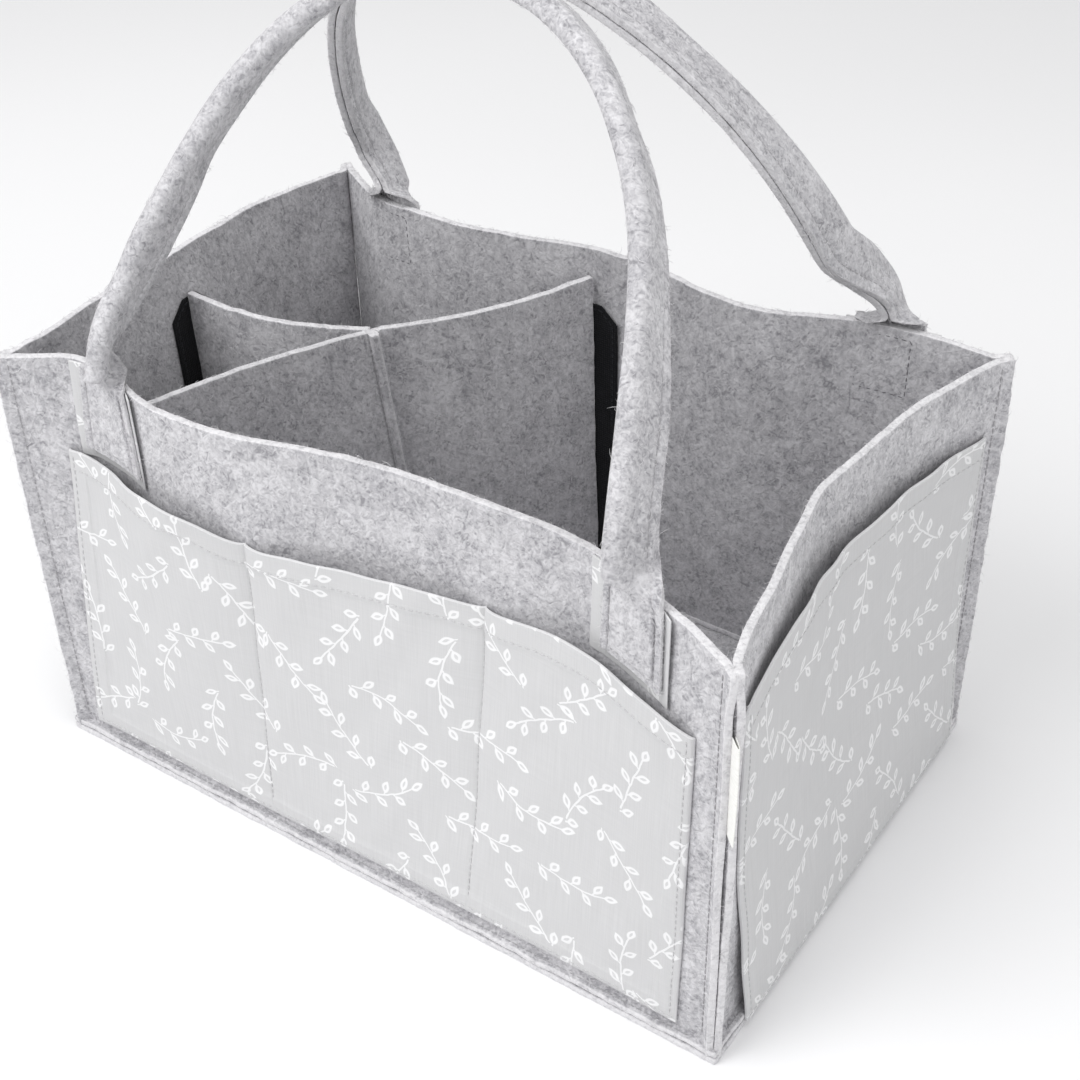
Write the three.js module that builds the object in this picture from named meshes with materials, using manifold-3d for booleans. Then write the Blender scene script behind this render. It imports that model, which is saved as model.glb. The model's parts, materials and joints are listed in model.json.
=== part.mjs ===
// Felt storage caddy: an open felt box with printed cotton pockets outside, two folded felt
// handles that lean in over it, and a lift-out felt divider with hook tape on its ends.
// Millimetres, +Z up, +X along the length, -Y to the front, origin under the middle of the base.

import * as THREE from 'three';
import Module from 'manifold-3d';
import { mergeVertices } from 'three/addons/utils/BufferGeometryUtils.js';

const wasm = await Module();
wasm.setup();

// Box
const overallLength = 340;
const overallWidth = 224;
const rimHeights = { frontLeft: 200, frontRight: 194, backRight: 196, backLeft: 193 };
const felt = 3;
const gap = 0.3;
const seamAllowance = 7; // width of the sewn edges that stand out at the corners
const baseCorner = 3;
const columnPitch = 11; // spacing of the facets along a wall
const rowPitch = 24; // spacing of the facets up a wall
const cornerFacets = 4;
const leastFacetShare = 0.05; // a sheet's own edge keeps this share of a facet clear of the next facet line

// How far each wall's rim leans in between its corners. Minus is out.
const frontLean = 27;
const rightLean = 19.5;
const backLean = 18.5;
const leftLean = -10;
const frontLeanShares = [[-1, 0], [-0.87, 0.48], [-0.73, 0.45], [-0.6, 0.22], [-0.44, 0.17], [-0.27, 0.34],
  [-0.16, 0.56], [-0.04, 0.77], [0.09, 0.89], [0.25, 0.95], [0.49, 1], [0.6, 0.95], [0.79, 0.55], [0.9, 0.28],
  [1, 0]];
const rightLeanShares = [[-1, 0], [-0.87, 0.2], [-0.55, 0.54], [-0.32, 0.78], [-0.08, 1], [0.06, 0.98],
  [0.18, 0.9], [0.46, 0.77], [0.75, 0.42], [1, 0]];
const backLeanShares = [[-1, 0], [-0.79, -0.06], [-0.62, 0.15], [-0.41, 0.85], [-0.23, 0.76], [-0.09, 0.43],
  [0.11, 0.33], [0.28, 0.64], [0.47, 0.95], [0.68, 1], [0.83, 0.85], [1, 0]];
const leftLeanShares = [[-1, 0], [-0.76, 0.6], [-0.52, 1], [-0.28, 0.98], [-0.03, 0.8], [0.15, 0.68],
  [0.49, 0.4], [0.74, 0.1], [1, 0]];
const leanPowerShare = 1.5; // the lean grows fastest near the base

// Cotton pockets
const cloth = 1.2;
const longPocketTop = 155;
const longPocketTopShares = [[-1, 1.01], [-0.8, 1.02], [-0.6, 1.025], [-0.45, 1.01], [-0.32, 0.972],
  [-0.15, 0.978], [0, 0.983], [0.18, 0.992], [0.33, 0.988], [0.45, 1.01], [0.58, 1.022], [0.72, 1.02],
  [0.86, 1], [1, 0.98]];
const longPocketInsets = { left: [6.5, 15], right: [11, 11] }; // from the creases, at the foot and the mouth
const longPocketSeams = [-50, 52]; // dividing seams, from the wall's middle
const longPocketFullness = 7;
const endPocketTop = 168;
const endPocketTopShares = [[-1, 0.955], [-0.85, 1.005], [-0.62, 1.03], [-0.38, 1.025], [-0.14, 1.01],
  [0.08, 1], [0.3, 0.995], [0.65, 0.99], [1, 0.97]];
const endPocketInsets = { left: [14, 7], right: [4.5, 4.5] };
const endPocketFullness = 6;
const endPocketBottom = 3.5;
const fullnessPowerShare = 0.6;
const mouthPowerShare = 0.55;
const standOffShare = 0.5; // share of its height over which an end pocket draws in from the base's edge

// Handles. Each is a felt strip folded along its length, flat at its feet.
const handleLength = 184; // from the rim to the top of the arch
const stripWidth = 38;
const footWidth = 28;
const foldBend = 9.2; // width of the strip that rounds the fold
const foldTurn = 94 * Math.PI / 180;
const edgeShare = 0.5; // places across the strip, as shares of its width: its edges and its stitch lines
const stitchShare = 0.28;
const closingHeight = 34; // rise over which the flat foot folds shut
const footBlend = 50; // rise over which the strip leaves the wall for its arch
const archSteps = 44;
const footCrowdShare = 0.09; // how much closer the steps lie at the feet
const tangentShare = 0.002;
const archTopShare = 0.5; // where along the arch its top lies
const archInset = 3; // from the wall to the arch's plane at the rim
// The feet's places along the walls, and the arch's own ends, shoulders, crown, skew and bow as
// shares of its length. Each arch leans in until its top is this far from the box's middle plane.
const arches = {
  front: {
    feet: [-119, 119],
    footShares: [-0.676, 0.65],
    shoulderShares: [0.192, 1.257],
    crownShares: [0.054, 0.95],
    skewShare: 0.02,
    bowShare: 0.039,
    topClear: 9.94,
  },
  back: {
    feet: [-125, 116],
    footShares: [-0.715, 0.648],
    shoulderShares: [0.095, 0.949],
    crownShares: [0.093, 1.141],
    skewShare: -0.06,
    bowShare: -0.02,
    topClear: 17.2,
  },
};
const tabBottom = 162;
const patchWidth = 46;
const patchBottom = 156.5;
const patchCloth = 1;

// Divider
const leafTop = 177;
const leafRises = { front: 0, seam: 0, back: 5, left: -1 }; // how far each end stands above the top
const dividerLift = 20; // how far it lifts before its leaves reach the leaning handles
const seamX = -79;
const seamY = 15;
const seamLean = 18; // how far the seam's foot lies from its head, towards the back wall
const leftLeafEnd = 1; // where the leaves meet the walls, from the walls' middles
const backLeafEnd = 20;
const frontLeafEnd = -123;
const shortLeafBow = 8;
const backBow = 6;
const frontBow = 3.5;
const leafPitch = 13;
const ridgeWidth = 5;
const ridgeReach = 4.5;
const ridgeShoulderShare = 0.75;
const tapeWidth = 25;
const tapeThickness = 1.2;
const tapeClip = 8; // the tapes' top corners are cut off
const tapeBottom = 26;
const tapeDrops = { left: 2, back: 14, front: 10 }; // from the leaves' tops to the tapes' tops

// Care label, blank
const labelHeight = 45;
const labelMiddle = 146;
const labelReach = 6;
const labelThickness = 0.6;

const feltMaterial = new THREE.MeshStandardMaterial({ color: 0xb4b3b6, roughness: 1, metalness: 0 });
const cottonMaterial = new THREE.MeshStandardMaterial({ color: 0xcfcfcf, roughness: 0.9, metalness: 0 });
const tapeMaterial = new THREE.MeshStandardMaterial({ color: 0x11151b, roughness: 0.8, metalness: 0 });
const labelMaterial = new THREE.MeshStandardMaterial({ color: 0xf2f2f0, roughness: 0.7, metalness: 0 });

// Values worked out from the sizes above
const seamReach = (seamAllowance + felt) / Math.SQRT2;
const insideLength = overallLength / 2 - seamReach; // half, to the inner faces
const insideWidth = overallWidth / 2 - seamReach;
const outsideLength = insideLength + felt;
const outsideWidth = insideWidth + felt;
const mitre = gap / Math.SQRT2;
const wallFoot = felt + gap;
const flangeTop = wallFoot + felt;

const clamp = (t, low = 0, high = 1) => Math.min(Math.max(t, low), high);
const mix = (a, b, t) => a + (b - a) * t;
const smooth = (t) => clamp(t) ** 2 * (3 - 2 * clamp(t));

// Smooth curve through [place, value] pairs.
function throughShares(shares, place) {
  const p = clamp(place, shares[0][0], shares.at(-1)[0]);
  let i = 0;
  while (i < shares.length - 2 && p > shares[i + 1][0]) i += 1;
  const slope = (k) => {
    const before = shares[Math.max(k - 1, 0)];
    const after = shares[Math.min(k + 1, shares.length - 1)];
    return (after[1] - before[1]) / (after[0] - before[0]);
  };
  const [[p0, v0], [p1, v1]] = [shares[i], shares[i + 1]];
  const span = p1 - p0;
  const t = (p - p0) / span;
  return v0 * (1 + 2 * t) * (1 - t) ** 2 + slope(i) * span * t * (1 - t) ** 2
    + v1 * t * t * (3 - 2 * t) + slope(i + 1) * span * t * t * (t - 1);
}

// Each wall is described in its own frame, with the wall along X and its outside towards -Y,
// and is then turned about Z into its place.
function wall(turn, half, depth, lean, shares, leftRim, rightRim) {
  const facing = turn < 2 ? 1 : -1; // minus where the wall's X runs against the caddy's X or Y
  const crease = half - felt * Math.SQRT2 - mitre;
  const facets = Math.round(2 * crease / columnPitch);
  const rows = Math.round((Math.min(leftRim, rightRim) - wallFoot) / rowPitch);
  return { turn, facing, half, depth, lean, shares, rims: [leftRim, rightRim], crease, facets, rows };
}

const { frontLeft, frontRight, backRight, backLeft } = rimHeights;
const sides = {
  front: wall(0, outsideLength, outsideWidth, frontLean, frontLeanShares, frontLeft, frontRight),
  right: wall(1, outsideWidth, outsideLength, rightLean, rightLeanShares, frontRight, backRight),
  back: wall(2, outsideLength, outsideWidth, backLean, backLeanShares, backRight, backLeft),
  left: wall(3, outsideWidth, outsideLength, leftLean, leftLeanShares, backLeft, frontLeft),
};

function rimAt(side, x) {
  return mix(...side.rims, clamp((x / side.crease + 1) / 2));
}

// The rim's lean, straight between the wall's facet lines.
function rimLean(side, x) {
  const place = clamp((x / side.crease + 1) / 2) * side.facets;
  const first = Math.min(Math.floor(place), side.facets - 1);
  const [before, after] = [first, first + 1].map((i) => throughShares(side.shares, 2 * i / side.facets - 1));
  return side.lean * mix(before, after, place - first);
}

const heightAt = (side, x, v) => mix(wallFoot, rimAt(side, x), v);
const shareAt = (side, x, z) => (z - wallFoot) / (rimAt(side, x) - wallFoot);

// The wall's lean, straight between its rows of facets too.
function leanAt(side, x, z) {
  const place = clamp(shareAt(side, x, z)) * side.rows;
  const first = Math.min(Math.floor(place), side.rows - 1);
  const [below, above] = [first, first + 1].map((i) => 1 - (1 - i / side.rows) ** leanPowerShare);
  return rimLean(side, x) * mix(below, above, place - first);
}

// A point at a distance outside the wall's outer face.
function wallPoint(side, x, z, outside) {
  return new THREE.Vector3(x, leanAt(side, x, z) - side.depth - outside, z);
}

// Evenly spaced places from one end to the other that lie inside low and high.
function placesInside(start, end, count, low, high) {
  const margin = (end - start) / count * leastFacetShare;
  return Array.from({ length: count + 1 }, (_, i) => mix(start, end, i / count))
    .filter((place) => place > low + margin && place < high - margin);
}

// The wall's own facet lines and rows between two ends, with the ends.
function columnsBetween(side, low, high) {
  return [low, ...placesInside(-side.crease, side.crease, side.facets, low, high), high];
}

function rowsBetween(side, low, high) {
  return [low, ...placesInside(0, 1, side.rows, low, high), high];
}

function levels(low, high, pitch = rowPitch) {
  const count = Math.max(Math.round((high - low) / pitch), 1);
  return Array.from({ length: count + 1 }, (_, i) => mix(low, high, i / count));
}

const levelShares = (height) => levels(0, 1, rowPitch / height);

// Closed solid between two grids of points with the same rows and columns.
function solidBetween(outer, inner) {
  const rows = outer.length;
  const columns = outer[0].length;
  const points = [...outer.flat(), ...inner.flat()];
  const faces = [];
  const quad = (a, b, c, d) => faces.push(a, b, c, a, c, d);
  const at = (layer, r, c) => layer * rows * columns + r * columns + c;
  for (let r = 0; r < rows - 1; r += 1) {
    for (let c = 0; c < columns - 1; c += 1) {
      quad(at(0, r, c), at(0, r, c + 1), at(0, r + 1, c + 1), at(0, r + 1, c));
      quad(at(1, r, c), at(1, r + 1, c), at(1, r + 1, c + 1), at(1, r, c + 1));
    }
  }
  const rim = [];
  for (let c = 0; c < columns - 1; c += 1) rim.push([0, c]);
  for (let r = 0; r < rows - 1; r += 1) rim.push([r, columns - 1]);
  for (let c = columns - 1; c > 0; c -= 1) rim.push([rows - 1, c]);
  for (let r = rows - 1; r > 0; r -= 1) rim.push([r, 0]);
  rim.forEach(([r, c], i) => {
    const [nr, nc] = rim[(i + 1) % rim.length];
    quad(at(0, r, c), at(1, r, c), at(1, nr, nc), at(0, nr, nc));
  });
  return outwardGeometry(points, faces);
}

function outwardGeometry(points, faces) {
  let volume = 0;
  for (let i = 0; i < faces.length; i += 3) {
    const [a, b, c] = [points[faces[i]], points[faces[i + 1]], points[faces[i + 2]]];
    volume += a.dot(new THREE.Vector3().crossVectors(b, c));
  }
  if (volume < 0) {
    for (let i = 0; i < faces.length; i += 3) [faces[i], faces[i + 1]] = [faces[i + 1], faces[i]];
  }
  const geometry = new THREE.BufferGeometry();
  geometry.setAttribute('position', new THREE.Float32BufferAttribute(points.flatMap((p) => p.toArray()), 3));
  geometry.setIndex(faces);
  return geometry;
}

function toSolid(geometry) {
  const bare = geometry.clone();
  bare.deleteAttribute('normal');
  bare.deleteAttribute('uv');
  const merged = mergeVertices(bare);
  return new wasm.Manifold(new wasm.Mesh({
    numProp: 3,
    vertProperties: new Float32Array(merged.attributes.position.array),
    triVerts: new Uint32Array(merged.index.array),
  }));
}

function fromSolid(solid) {
  const mesh = solid.getMesh();
  const geometry = new THREE.BufferGeometry();
  geometry.setAttribute('position', new THREE.BufferAttribute(new Float32Array(mesh.vertProperties), 3));
  geometry.setIndex(new THREE.BufferAttribute(new Uint32Array(mesh.triVerts), 1));
  return geometry;
}

const caddy = new THREE.Group();

function addPiece(name, geometry, material, turn = 0) {
  geometry.computeVertexNormals();
  const mesh = new THREE.Mesh(geometry, material);
  mesh.name = name;
  const place = new THREE.Group();
  place.rotation.z = turn * Math.PI / 2;
  place.add(mesh);
  caddy.add(place);
}

// A flat sheet that follows a wall at a distance outside it, from a height up to the rim.
function wallSheet(side, low, high, bottom, outside, thickness) {
  const columns = columnsBetween(side, low, high);
  const rows = rowsBetween(side, shareAt(side, (low + high) / 2, bottom), 1);
  const grid = (out) => rows.map((v) => columns.map((x) => wallPoint(side, x, heightAt(side, x, v), out)));
  return solidBetween(grid(outside + thickness), grid(outside));
}

// Wall panel: the side edges turn out along the corner's diagonal and lie face to face with
// the next panel's, and the bottom edge turns out flat over the base.
function wallPanel(side) {
  const columns = columnsBetween(side, -side.crease, side.crease);
  const rows = rowsBetween(side, 0, 1);
  const diagonal = seamAllowance / Math.SQRT2;
  const skew = felt / Math.SQRT2;
  const corner = { x: side.half - felt - mitre, y: -(side.depth - felt) };
  const outerRow = (v) => {
    const sheetRow = columns.map((x) => wallPoint(side, x, heightAt(side, x, v), 0));
    const tip = (end) => new THREE.Vector3(
      end * (corner.x + diagonal - skew), corner.y - diagonal - skew, heightAt(side, end * side.crease, v));
    return [tip(-1), ...sheetRow, tip(1)];
  };
  const innerRow = (v) => {
    const sheetRow = columns.map((x) => {
      const inner = wallPoint(side, x, heightAt(side, x, v), -felt);
      inner.x *= corner.x / side.crease;
      return inner;
    });
    const tip = (end) => new THREE.Vector3(
      end * (corner.x + diagonal), corner.y - diagonal, heightAt(side, end * side.crease, v));
    return [tip(-1), ...sheetRow, tip(1)];
  };
  const sheet = toSolid(solidBetween(rows.map(outerRow), rows.map(innerRow)));
  const outline = new THREE.Shape();
  outline.moveTo(-corner.x, corner.y);
  outline.lineTo(-corner.x - seamReach, corner.y - seamReach);
  outline.lineTo(corner.x + seamReach, corner.y - seamReach);
  outline.lineTo(corner.x, corner.y);
  outline.closePath();
  const flange = new THREE.ExtrudeGeometry(outline, { depth: felt, bevelEnabled: false });
  flange.translate(0, 0, wallFoot);
  return fromSolid(sheet.add(toSolid(flange)));
}

function basePanel() {
  const [x, y] = [overallLength / 2, overallWidth / 2];
  const outline = new THREE.Shape();
  const corners = [[1, -1, -Math.PI / 2], [1, 1, 0], [-1, 1, Math.PI / 2], [-1, -1, Math.PI]];
  for (const [sx, sy, start] of corners) {
    const centre = [sx * (x - baseCorner), sy * (y - baseCorner)];
    outline.absarc(...centre, baseCorner, start, start + Math.PI / 2, false);
  }
  outline.closePath();
  const options = { depth: felt, bevelEnabled: false, curveSegments: cornerFacets };
  return new THREE.ExtrudeGeometry(outline, options);
}

// Pocket: a cloth sheet that meets the wall at its hems and at its dividing seams, and stands
// off it in between, more towards the mouth.
function pocket(side, options) {
  const { insets, top, bottom, seams, fullness, standOff } = options;
  const edgeAt = (end, v) => end * (side.crease - mix(...insets[end < 0 ? 'left' : 'right'], v));
  const boundsAt = (v) => [edgeAt(-1, v), ...seams, edgeAt(1, v)];
  const narrow = [Math.max(...insets.left) - side.crease, ...seams, side.crease - Math.max(...insets.right)];
  const columns = narrow.slice(0, -1).flatMap((low, bay) => (
    columnsBetween(side, low, narrow[bay + 1]).slice(0, -1).map((x, i) => [bay, i > 0 ? x : null])));
  columns.push([narrow.length - 1, null]);
  const foot = shareAt(side, 0, bottom);
  const mouthAt = (x) => shareAt(side, x, top(x / side.crease));
  const lowest = Math.min(...columnsBetween(side, -side.crease, side.crease).map(mouthAt));
  const rows = [...rowsBetween(side, foot, lowest).slice(0, -1), null];
  const point = ([bay, facetPlace], row, extra) => {
    const mouth = mouthAt(facetPlace ?? boundsAt(1)[bay]);
    const v = row ?? mouth;
    const rise = (v - foot) / (mouth - foot);
    const bounds = boundsAt(rise);
    const x = facetPlace ?? bounds[bay];
    const t = facetPlace === null ? 0 : (x - bounds[bay]) / (bounds[bay + 1] - bounds[bay]);
    const billow = Math.sin(Math.PI * t) ** fullnessPowerShare;
    const out = gap + fullness * billow * rise ** mouthPowerShare;
    const drawnIn = standOff * (1 - smooth(rise / standOffShare));
    return wallPoint(side, x, heightAt(side, x, v), out + drawnIn + extra);
  };
  const grid = (extra) => rows.map((row) => columns.map((column) => point(column, row, extra)));
  return solidBetween(grid(cloth), grid(0));
}

// The strip's cross-section: a point across its width turns round the fold by up to half a turn.
function foldedStrip(across, turn, out) {
  const bend = foldBend / 2;
  const bent = Math.min(Math.abs(across), bend);
  const angle = turn * bent / bend;
  const rest = Math.abs(across) - bent;
  const sideways = (angle > 0 ? bent * Math.sin(angle) / angle : bent) + rest * Math.cos(turn);
  const deep = (angle > 0 ? bent * (1 - Math.cos(angle)) / angle : 0) + rest * Math.sin(turn);
  const sign = Math.sign(across);
  return [sign * (sideways + out * Math.sin(angle)), deep - out * Math.cos(angle)];
}

// Handle strap: the folded strip carried along an arch of fifth degree that leans in over the box,
// from flat feet that stand on the tabs' top edges.
function handleStrap(side, arch) {
  const clear = gap + patchCloth + gap + felt / 2;
  const slopeAt = (x) => {
    const step = columnPitch / 2;
    const rim = rimAt(side, x);
    return Math.atan2(leanAt(side, x + step, rim) - leanAt(side, x - step, rim), 2 * step);
  };
  const feet = arch.feet.map((x) => wallPoint(side, x * side.facing, rimAt(side, x * side.facing), clear));
  const [low, high] = arch.footShares.map((share) => share * handleLength);
  const [shoulderIn, shoulderRise] = arch.shoulderShares.map((share) => share * handleLength);
  const [crownHalf, crownRise] = arch.crownShares.map((share) => share * handleLength);
  const middle = (low + high) / 2;
  const controls = [[low, 0], [low + shoulderIn, shoulderRise], [middle - crownHalf, crownRise],
    [middle + crownHalf, crownRise], [high - shoulderIn, shoulderRise], [high, 0]];
  const binomials = [1, 5, 10, 10, 5, 1];
  const planePoint = (t) => {
    let [x, h] = [0, 0];
    controls.forEach(([cx, ch], i) => {
      const weight = binomials[i] * t ** i * (1 - t) ** (5 - i);
      x += weight * cx;
      h += weight * ch;
    });
    return [x, h];
  };
  const bowAt = (h) => arch.bowShare * handleLength * (h / handleLength) ** 2;
  const top = planePoint(archTopShare)[1];
  const lean = Math.asin(clamp((outsideWidth - archInset - arch.topClear - bowAt(top)) / top));
  const archPoint = (t) => {
    const [x, h] = planePoint(t);
    const onArch = new THREE.Vector3(
      (x + arch.skewShare * h) * side.facing,
      h * Math.sin(lean) + bowAt(h) + archInset - outsideWidth,
      (frontLeft + backLeft) / 2 + h * Math.cos(lean),
    );
    const foot = feet[t < 0.5 ? 0 : 1];
    const onFoot = new THREE.Vector3(foot.x, foot.y, foot.z + gap + h);
    return { h, point: onFoot.lerp(onArch, smooth(h / footBlend)) };
  };
  const foldDepth = foldBend / Math.PI + (stripWidth - foldBend) / 2;
  const bendShare = foldBend / stripWidth / 2;
  const half = [bendShare / 2, bendShare, stitchShare, edgeShare];
  const shares = [...half.map((share) => -share).reverse(), 0, ...half];
  const rings = [];
  for (let i = 0; i <= archSteps; i += 1) {
    const even = i / archSteps;
    const t = even - Math.sin(2 * Math.PI * even) * footCrowdShare;
    const { h, point } = archPoint(t);
    const beside = [t - tangentShare, t + tangentShare];
    const [before, after] = beside.map((place) => archPoint(clamp(place)).point);
    const tangent = after.sub(before).normalize();
    const end = t < 0.5 ? 0 : 1;
    const squared = smooth(h / footBlend);
    if (i === 0 || i === archSteps) tangent.set(0, 0, end ? -1 : 1);
    const slope = slopeAt(point.x);
    const inward = new THREE.Vector3(-Math.sin(slope) * (1 - squared),
      mix(Math.cos(slope), Math.cos(lean), squared), -Math.sin(lean) * squared);
    inward.addScaledVector(tangent, -inward.dot(tangent)).normalize();
    const along = new THREE.Vector3().crossVectors(tangent, inward);
    const closed = smooth(h / closingHeight);
    const ring = [];
    for (const out of [felt / 2, -felt / 2]) {
      const line = shares.map((share) => {
        const across = share * mix(footWidth, stripWidth, closed);
        const [sideways, deep] = foldedStrip(across, foldTurn * closed, out);
        const centred = deep - squared * foldDepth / 2;
        return point.clone().addScaledVector(along, sideways).addScaledVector(inward, centred);
      });
      ring.push(...(out > 0 ? line : line.reverse()));
    }
    if (h < gap) ring.forEach((corner) => corner.setZ(rimAt(side, corner.x) + gap));
    rings.push(ring);
  }
  return loft(rings);
}

// Closed solid through rings of points, with flat ends made of the strip's two faces.
function loft(rings) {
  const size = rings[0].length;
  const faces = [];
  for (let r = 0; r < rings.length - 1; r += 1) {
    for (let c = 0; c < size; c += 1) {
      const n = (c + 1) % size;
      const [a, b] = [r * size + c, r * size + n];
      faces.push(a, b, b + size, a, b + size, a + size);
    }
  }
  for (let c = 0; c < size / 2 - 1; c += 1) {
    const [p, q, s, t] = [c, c + 1, size - 2 - c, size - 1 - c];
    const last = (rings.length - 1) * size;
    faces.push(p, s, q, p, t, s);
    faces.push(last + p, last + q, last + s, last + p, last + s, last + t);
  }
  return outwardGeometry(rings.flat(), faces);
}

// A point on a wall's inner face, in the caddy's own frame.
function innerPoint(side, x, z, inside) {
  const point = wallPoint(side, x, z, -felt - inside);
  return point.applyAxisAngle(new THREE.Vector3(0, 0, 1), side.turn * Math.PI / 2);
}

// A point on a wall's inner side that stays clear of the wall through the divider's whole lift.
function clearOfWall(side, place, z, inside) {
  const here = innerPoint(side, place, z, inside);
  const lifted = innerPoint(side, place, Math.min(z + dividerLift, rimAt(side, place)), inside);
  const inner = here.length() < Math.hypot(lifted.x, lifted.y, z) ? here : lifted;
  return inner.setZ(z);
}

const leafSteps = (from, to) => Math.round(from.distanceTo(to) / leafPitch);

// Points along a line that bows off its chord, to the left of the way it runs.
function bowedLine(from, to, bow, steps) {
  const chord = to.clone().sub(from);
  const across = new THREE.Vector3(-chord.y, chord.x, 0).normalize();
  return Array.from({ length: steps + 1 }, (_, i) => {
    const sideways = bow * Math.sin(Math.PI * i / steps);
    return from.clone().addScaledVector(chord, i / steps).addScaledVector(across, sideways);
  });
}

// One face of a leaf beside its centre line, with the ends cut square to the given directions.
function besideLine(line, out, startNormal, endNormal) {
  return line.map((point, i) => {
    const next = line[Math.min(i + 1, line.length - 1)];
    const tangent = next.clone().sub(line[Math.max(i - 1, 0)]).setZ(0).normalize();
    const across = new THREE.Vector3(-tangent.y, tangent.x, 0);
    const beside = point.clone().addScaledVector(across, out);
    const normal = [startNormal, endNormal][[0, line.length - 1].indexOf(i)];
    if (normal) beside.addScaledVector(tangent, -out * across.dot(normal) / tangent.dot(normal));
    return beside;
  });
}

const wallNormal = (side) => new THREE.Vector3(0, 1, 0).applyAxisAngle(
  new THREE.Vector3(0, 0, 1), side.turn * Math.PI / 2);
const leafStandOff = gap + tapeThickness + gap;

// The divider's plan at a share of its height: the seam, and the middles of the leaves' ends.
function dividerPlan(v) {
  const height = (key) => mix(wallFoot, leafTop + leafRises[key], v);
  const front = clearOfWall(sides.front, frontLeafEnd, height('front'), leafStandOff);
  const back = clearOfWall(sides.back, backLeafEnd, height('back'), leafStandOff);
  const left = clearOfWall(sides.left, leftLeafEnd, height('left'), leafStandOff);
  const along = back.clone().sub(front).setZ(0).normalize();
  const seam = new THREE.Vector3(seamX, seamY, height('seam')).addScaledVector(along, seamLean * (1 - v));
  return { front, back, left, seam, along, across: new THREE.Vector3(-along.y, along.x, 0) };
}

const leafRows = levelShares(leafTop);

// Long leaf: runs from the front wall to the back wall, and is pinched and sewn into a ridge at
// the seam, on the side away from the short leaf.
function longLeaf() {
  const half = ridgeWidth / 2;
  const shoulder = ridgeReach * ridgeShoulderShare;
  const ridge = [[-half, 0], [-half, shoulder], [0, ridgeReach], [half, shoulder], [half, 0]];
  const head = dividerPlan(1);
  const [frontSteps, backSteps] = [leafSteps(head.front, head.seam), leafSteps(head.seam, head.back)];
  const sheet = (out) => leafRows.map((v) => {
    const { front, back, seam, along, across } = dividerPlan(v);
    const before = bowedLine(front, seam.clone().addScaledVector(along, -ridgeWidth), frontBow, frontSteps);
    const after = bowedLine(seam.clone().addScaledVector(along, ridgeWidth), back, -backBow, backSteps);
    const first = besideLine(before, out, wallNormal(sides.front), null);
    const last = besideLine(after, out, null, wallNormal(sides.back));
    const pinch = ridge.map(([place, reach], i) => {
      const spread = out > 0 ? (i / 2 - 1) * half : place;
      return seam.clone().addScaledVector(along, spread).addScaledVector(across, out > 0 ? out : out - reach);
    });
    return [...first, ...pinch, ...last];
  });
  return solidBetween(sheet(felt / 2), sheet(-felt / 2));
}

// Short leaf: butts against the long leaf at the seam and runs to the left wall.
function shortLeaf() {
  const head = dividerPlan(1);
  const steps = leafSteps(head.seam, head.left);
  const sheet = (out) => leafRows.map((v) => {
    const { left, seam, across } = dividerPlan(v);
    const start = seam.clone().addScaledVector(across, felt / 2 + gap);
    return besideLine(bowedLine(start, left, shortLeafBow, steps), out, across, wallNormal(sides.left));
  });
  return solidBetween(sheet(felt / 2), sheet(-felt / 2));
}

// Hook tape that lies on a wall under a leaf's end, with its top corners cut off.
function hookTape(side, place, top) {
  const half = tapeWidth / 2;
  const columns = [-half, tapeClip - half, 0, half - tapeClip, half];
  const grid = (inside) => levelShares(top - tapeBottom).map((v) => columns.map((x) => {
    const clip = Math.max(Math.abs(x) - half + tapeClip, 0);
    return clearOfWall(side, place + x, mix(tapeBottom, top - clip, v), inside);
  }));
  return solidBetween(grid(gap), grid(gap + tapeThickness));
}

// Care label: sewn between the two edges at the front right corner and folded along its outer edge.
function careLabel() {
  const corner = new THREE.Vector3(insideLength, -insideWidth, 0);
  const outwards = new THREE.Vector3(1, -1, 0).normalize();
  const across = new THREE.Vector3(1, 1, 0).normalize();
  const start = seamAllowance + gap;
  const rows = levels(labelMiddle - labelHeight / 2, labelMiddle + labelHeight / 2);
  const columns = [0, labelReach / 2, labelReach];
  const grid = (out) => rows.map((z) => columns.map((reach) => (
    corner.clone().setZ(z).addScaledVector(outwards, start + reach).addScaledVector(across, out))));
  return solidBetween(grid(labelThickness / 2), grid(-labelThickness / 2));
}

// Build
addPiece('base_panel', basePanel(), feltMaterial);
const sideNames = { front: 'front', right: 'right_end', back: 'back', left: 'left_end' };
for (const [key, side] of Object.entries(sides)) {
  addPiece(`${sideNames[key]}_panel`, wallPanel(side), feltMaterial, side.turn);
}

for (const key of ['front', 'back']) {
  const side = sides[key];
  const options = {
    insets: longPocketInsets,
    top: (place) => longPocketTop * throughShares(longPocketTopShares, place),
    bottom: flangeTop + gap,
    seams: longPocketSeams,
    fullness: longPocketFullness,
    standOff: 0,
  };
  addPiece(`${key}_pocket`, pocket(side, options), cottonMaterial, side.turn);
  addPiece(`${key}_handle`, handleStrap(side, arches[key]), feltMaterial, side.turn);
  arches[key].feet.forEach((x, i) => {
    const hand = ['left', 'right'][i];
    const foot = x * side.facing;
    const [low, high] = [foot - footWidth / 2, foot + footWidth / 2];
    const [patchLow, patchHigh] = [foot - patchWidth / 2, foot + patchWidth / 2];
    const tab = wallSheet(side, low, high, tabBottom, gap + patchCloth + gap, felt);
    const patch = wallSheet(side, patchLow, patchHigh, patchBottom, gap, patchCloth);
    addPiece(`${key}_handle_tab_${hand}`, tab, feltMaterial, side.turn);
    addPiece(`${key}_handle_patch_${hand}`, patch, cottonMaterial, side.turn);
  });
}

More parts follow.
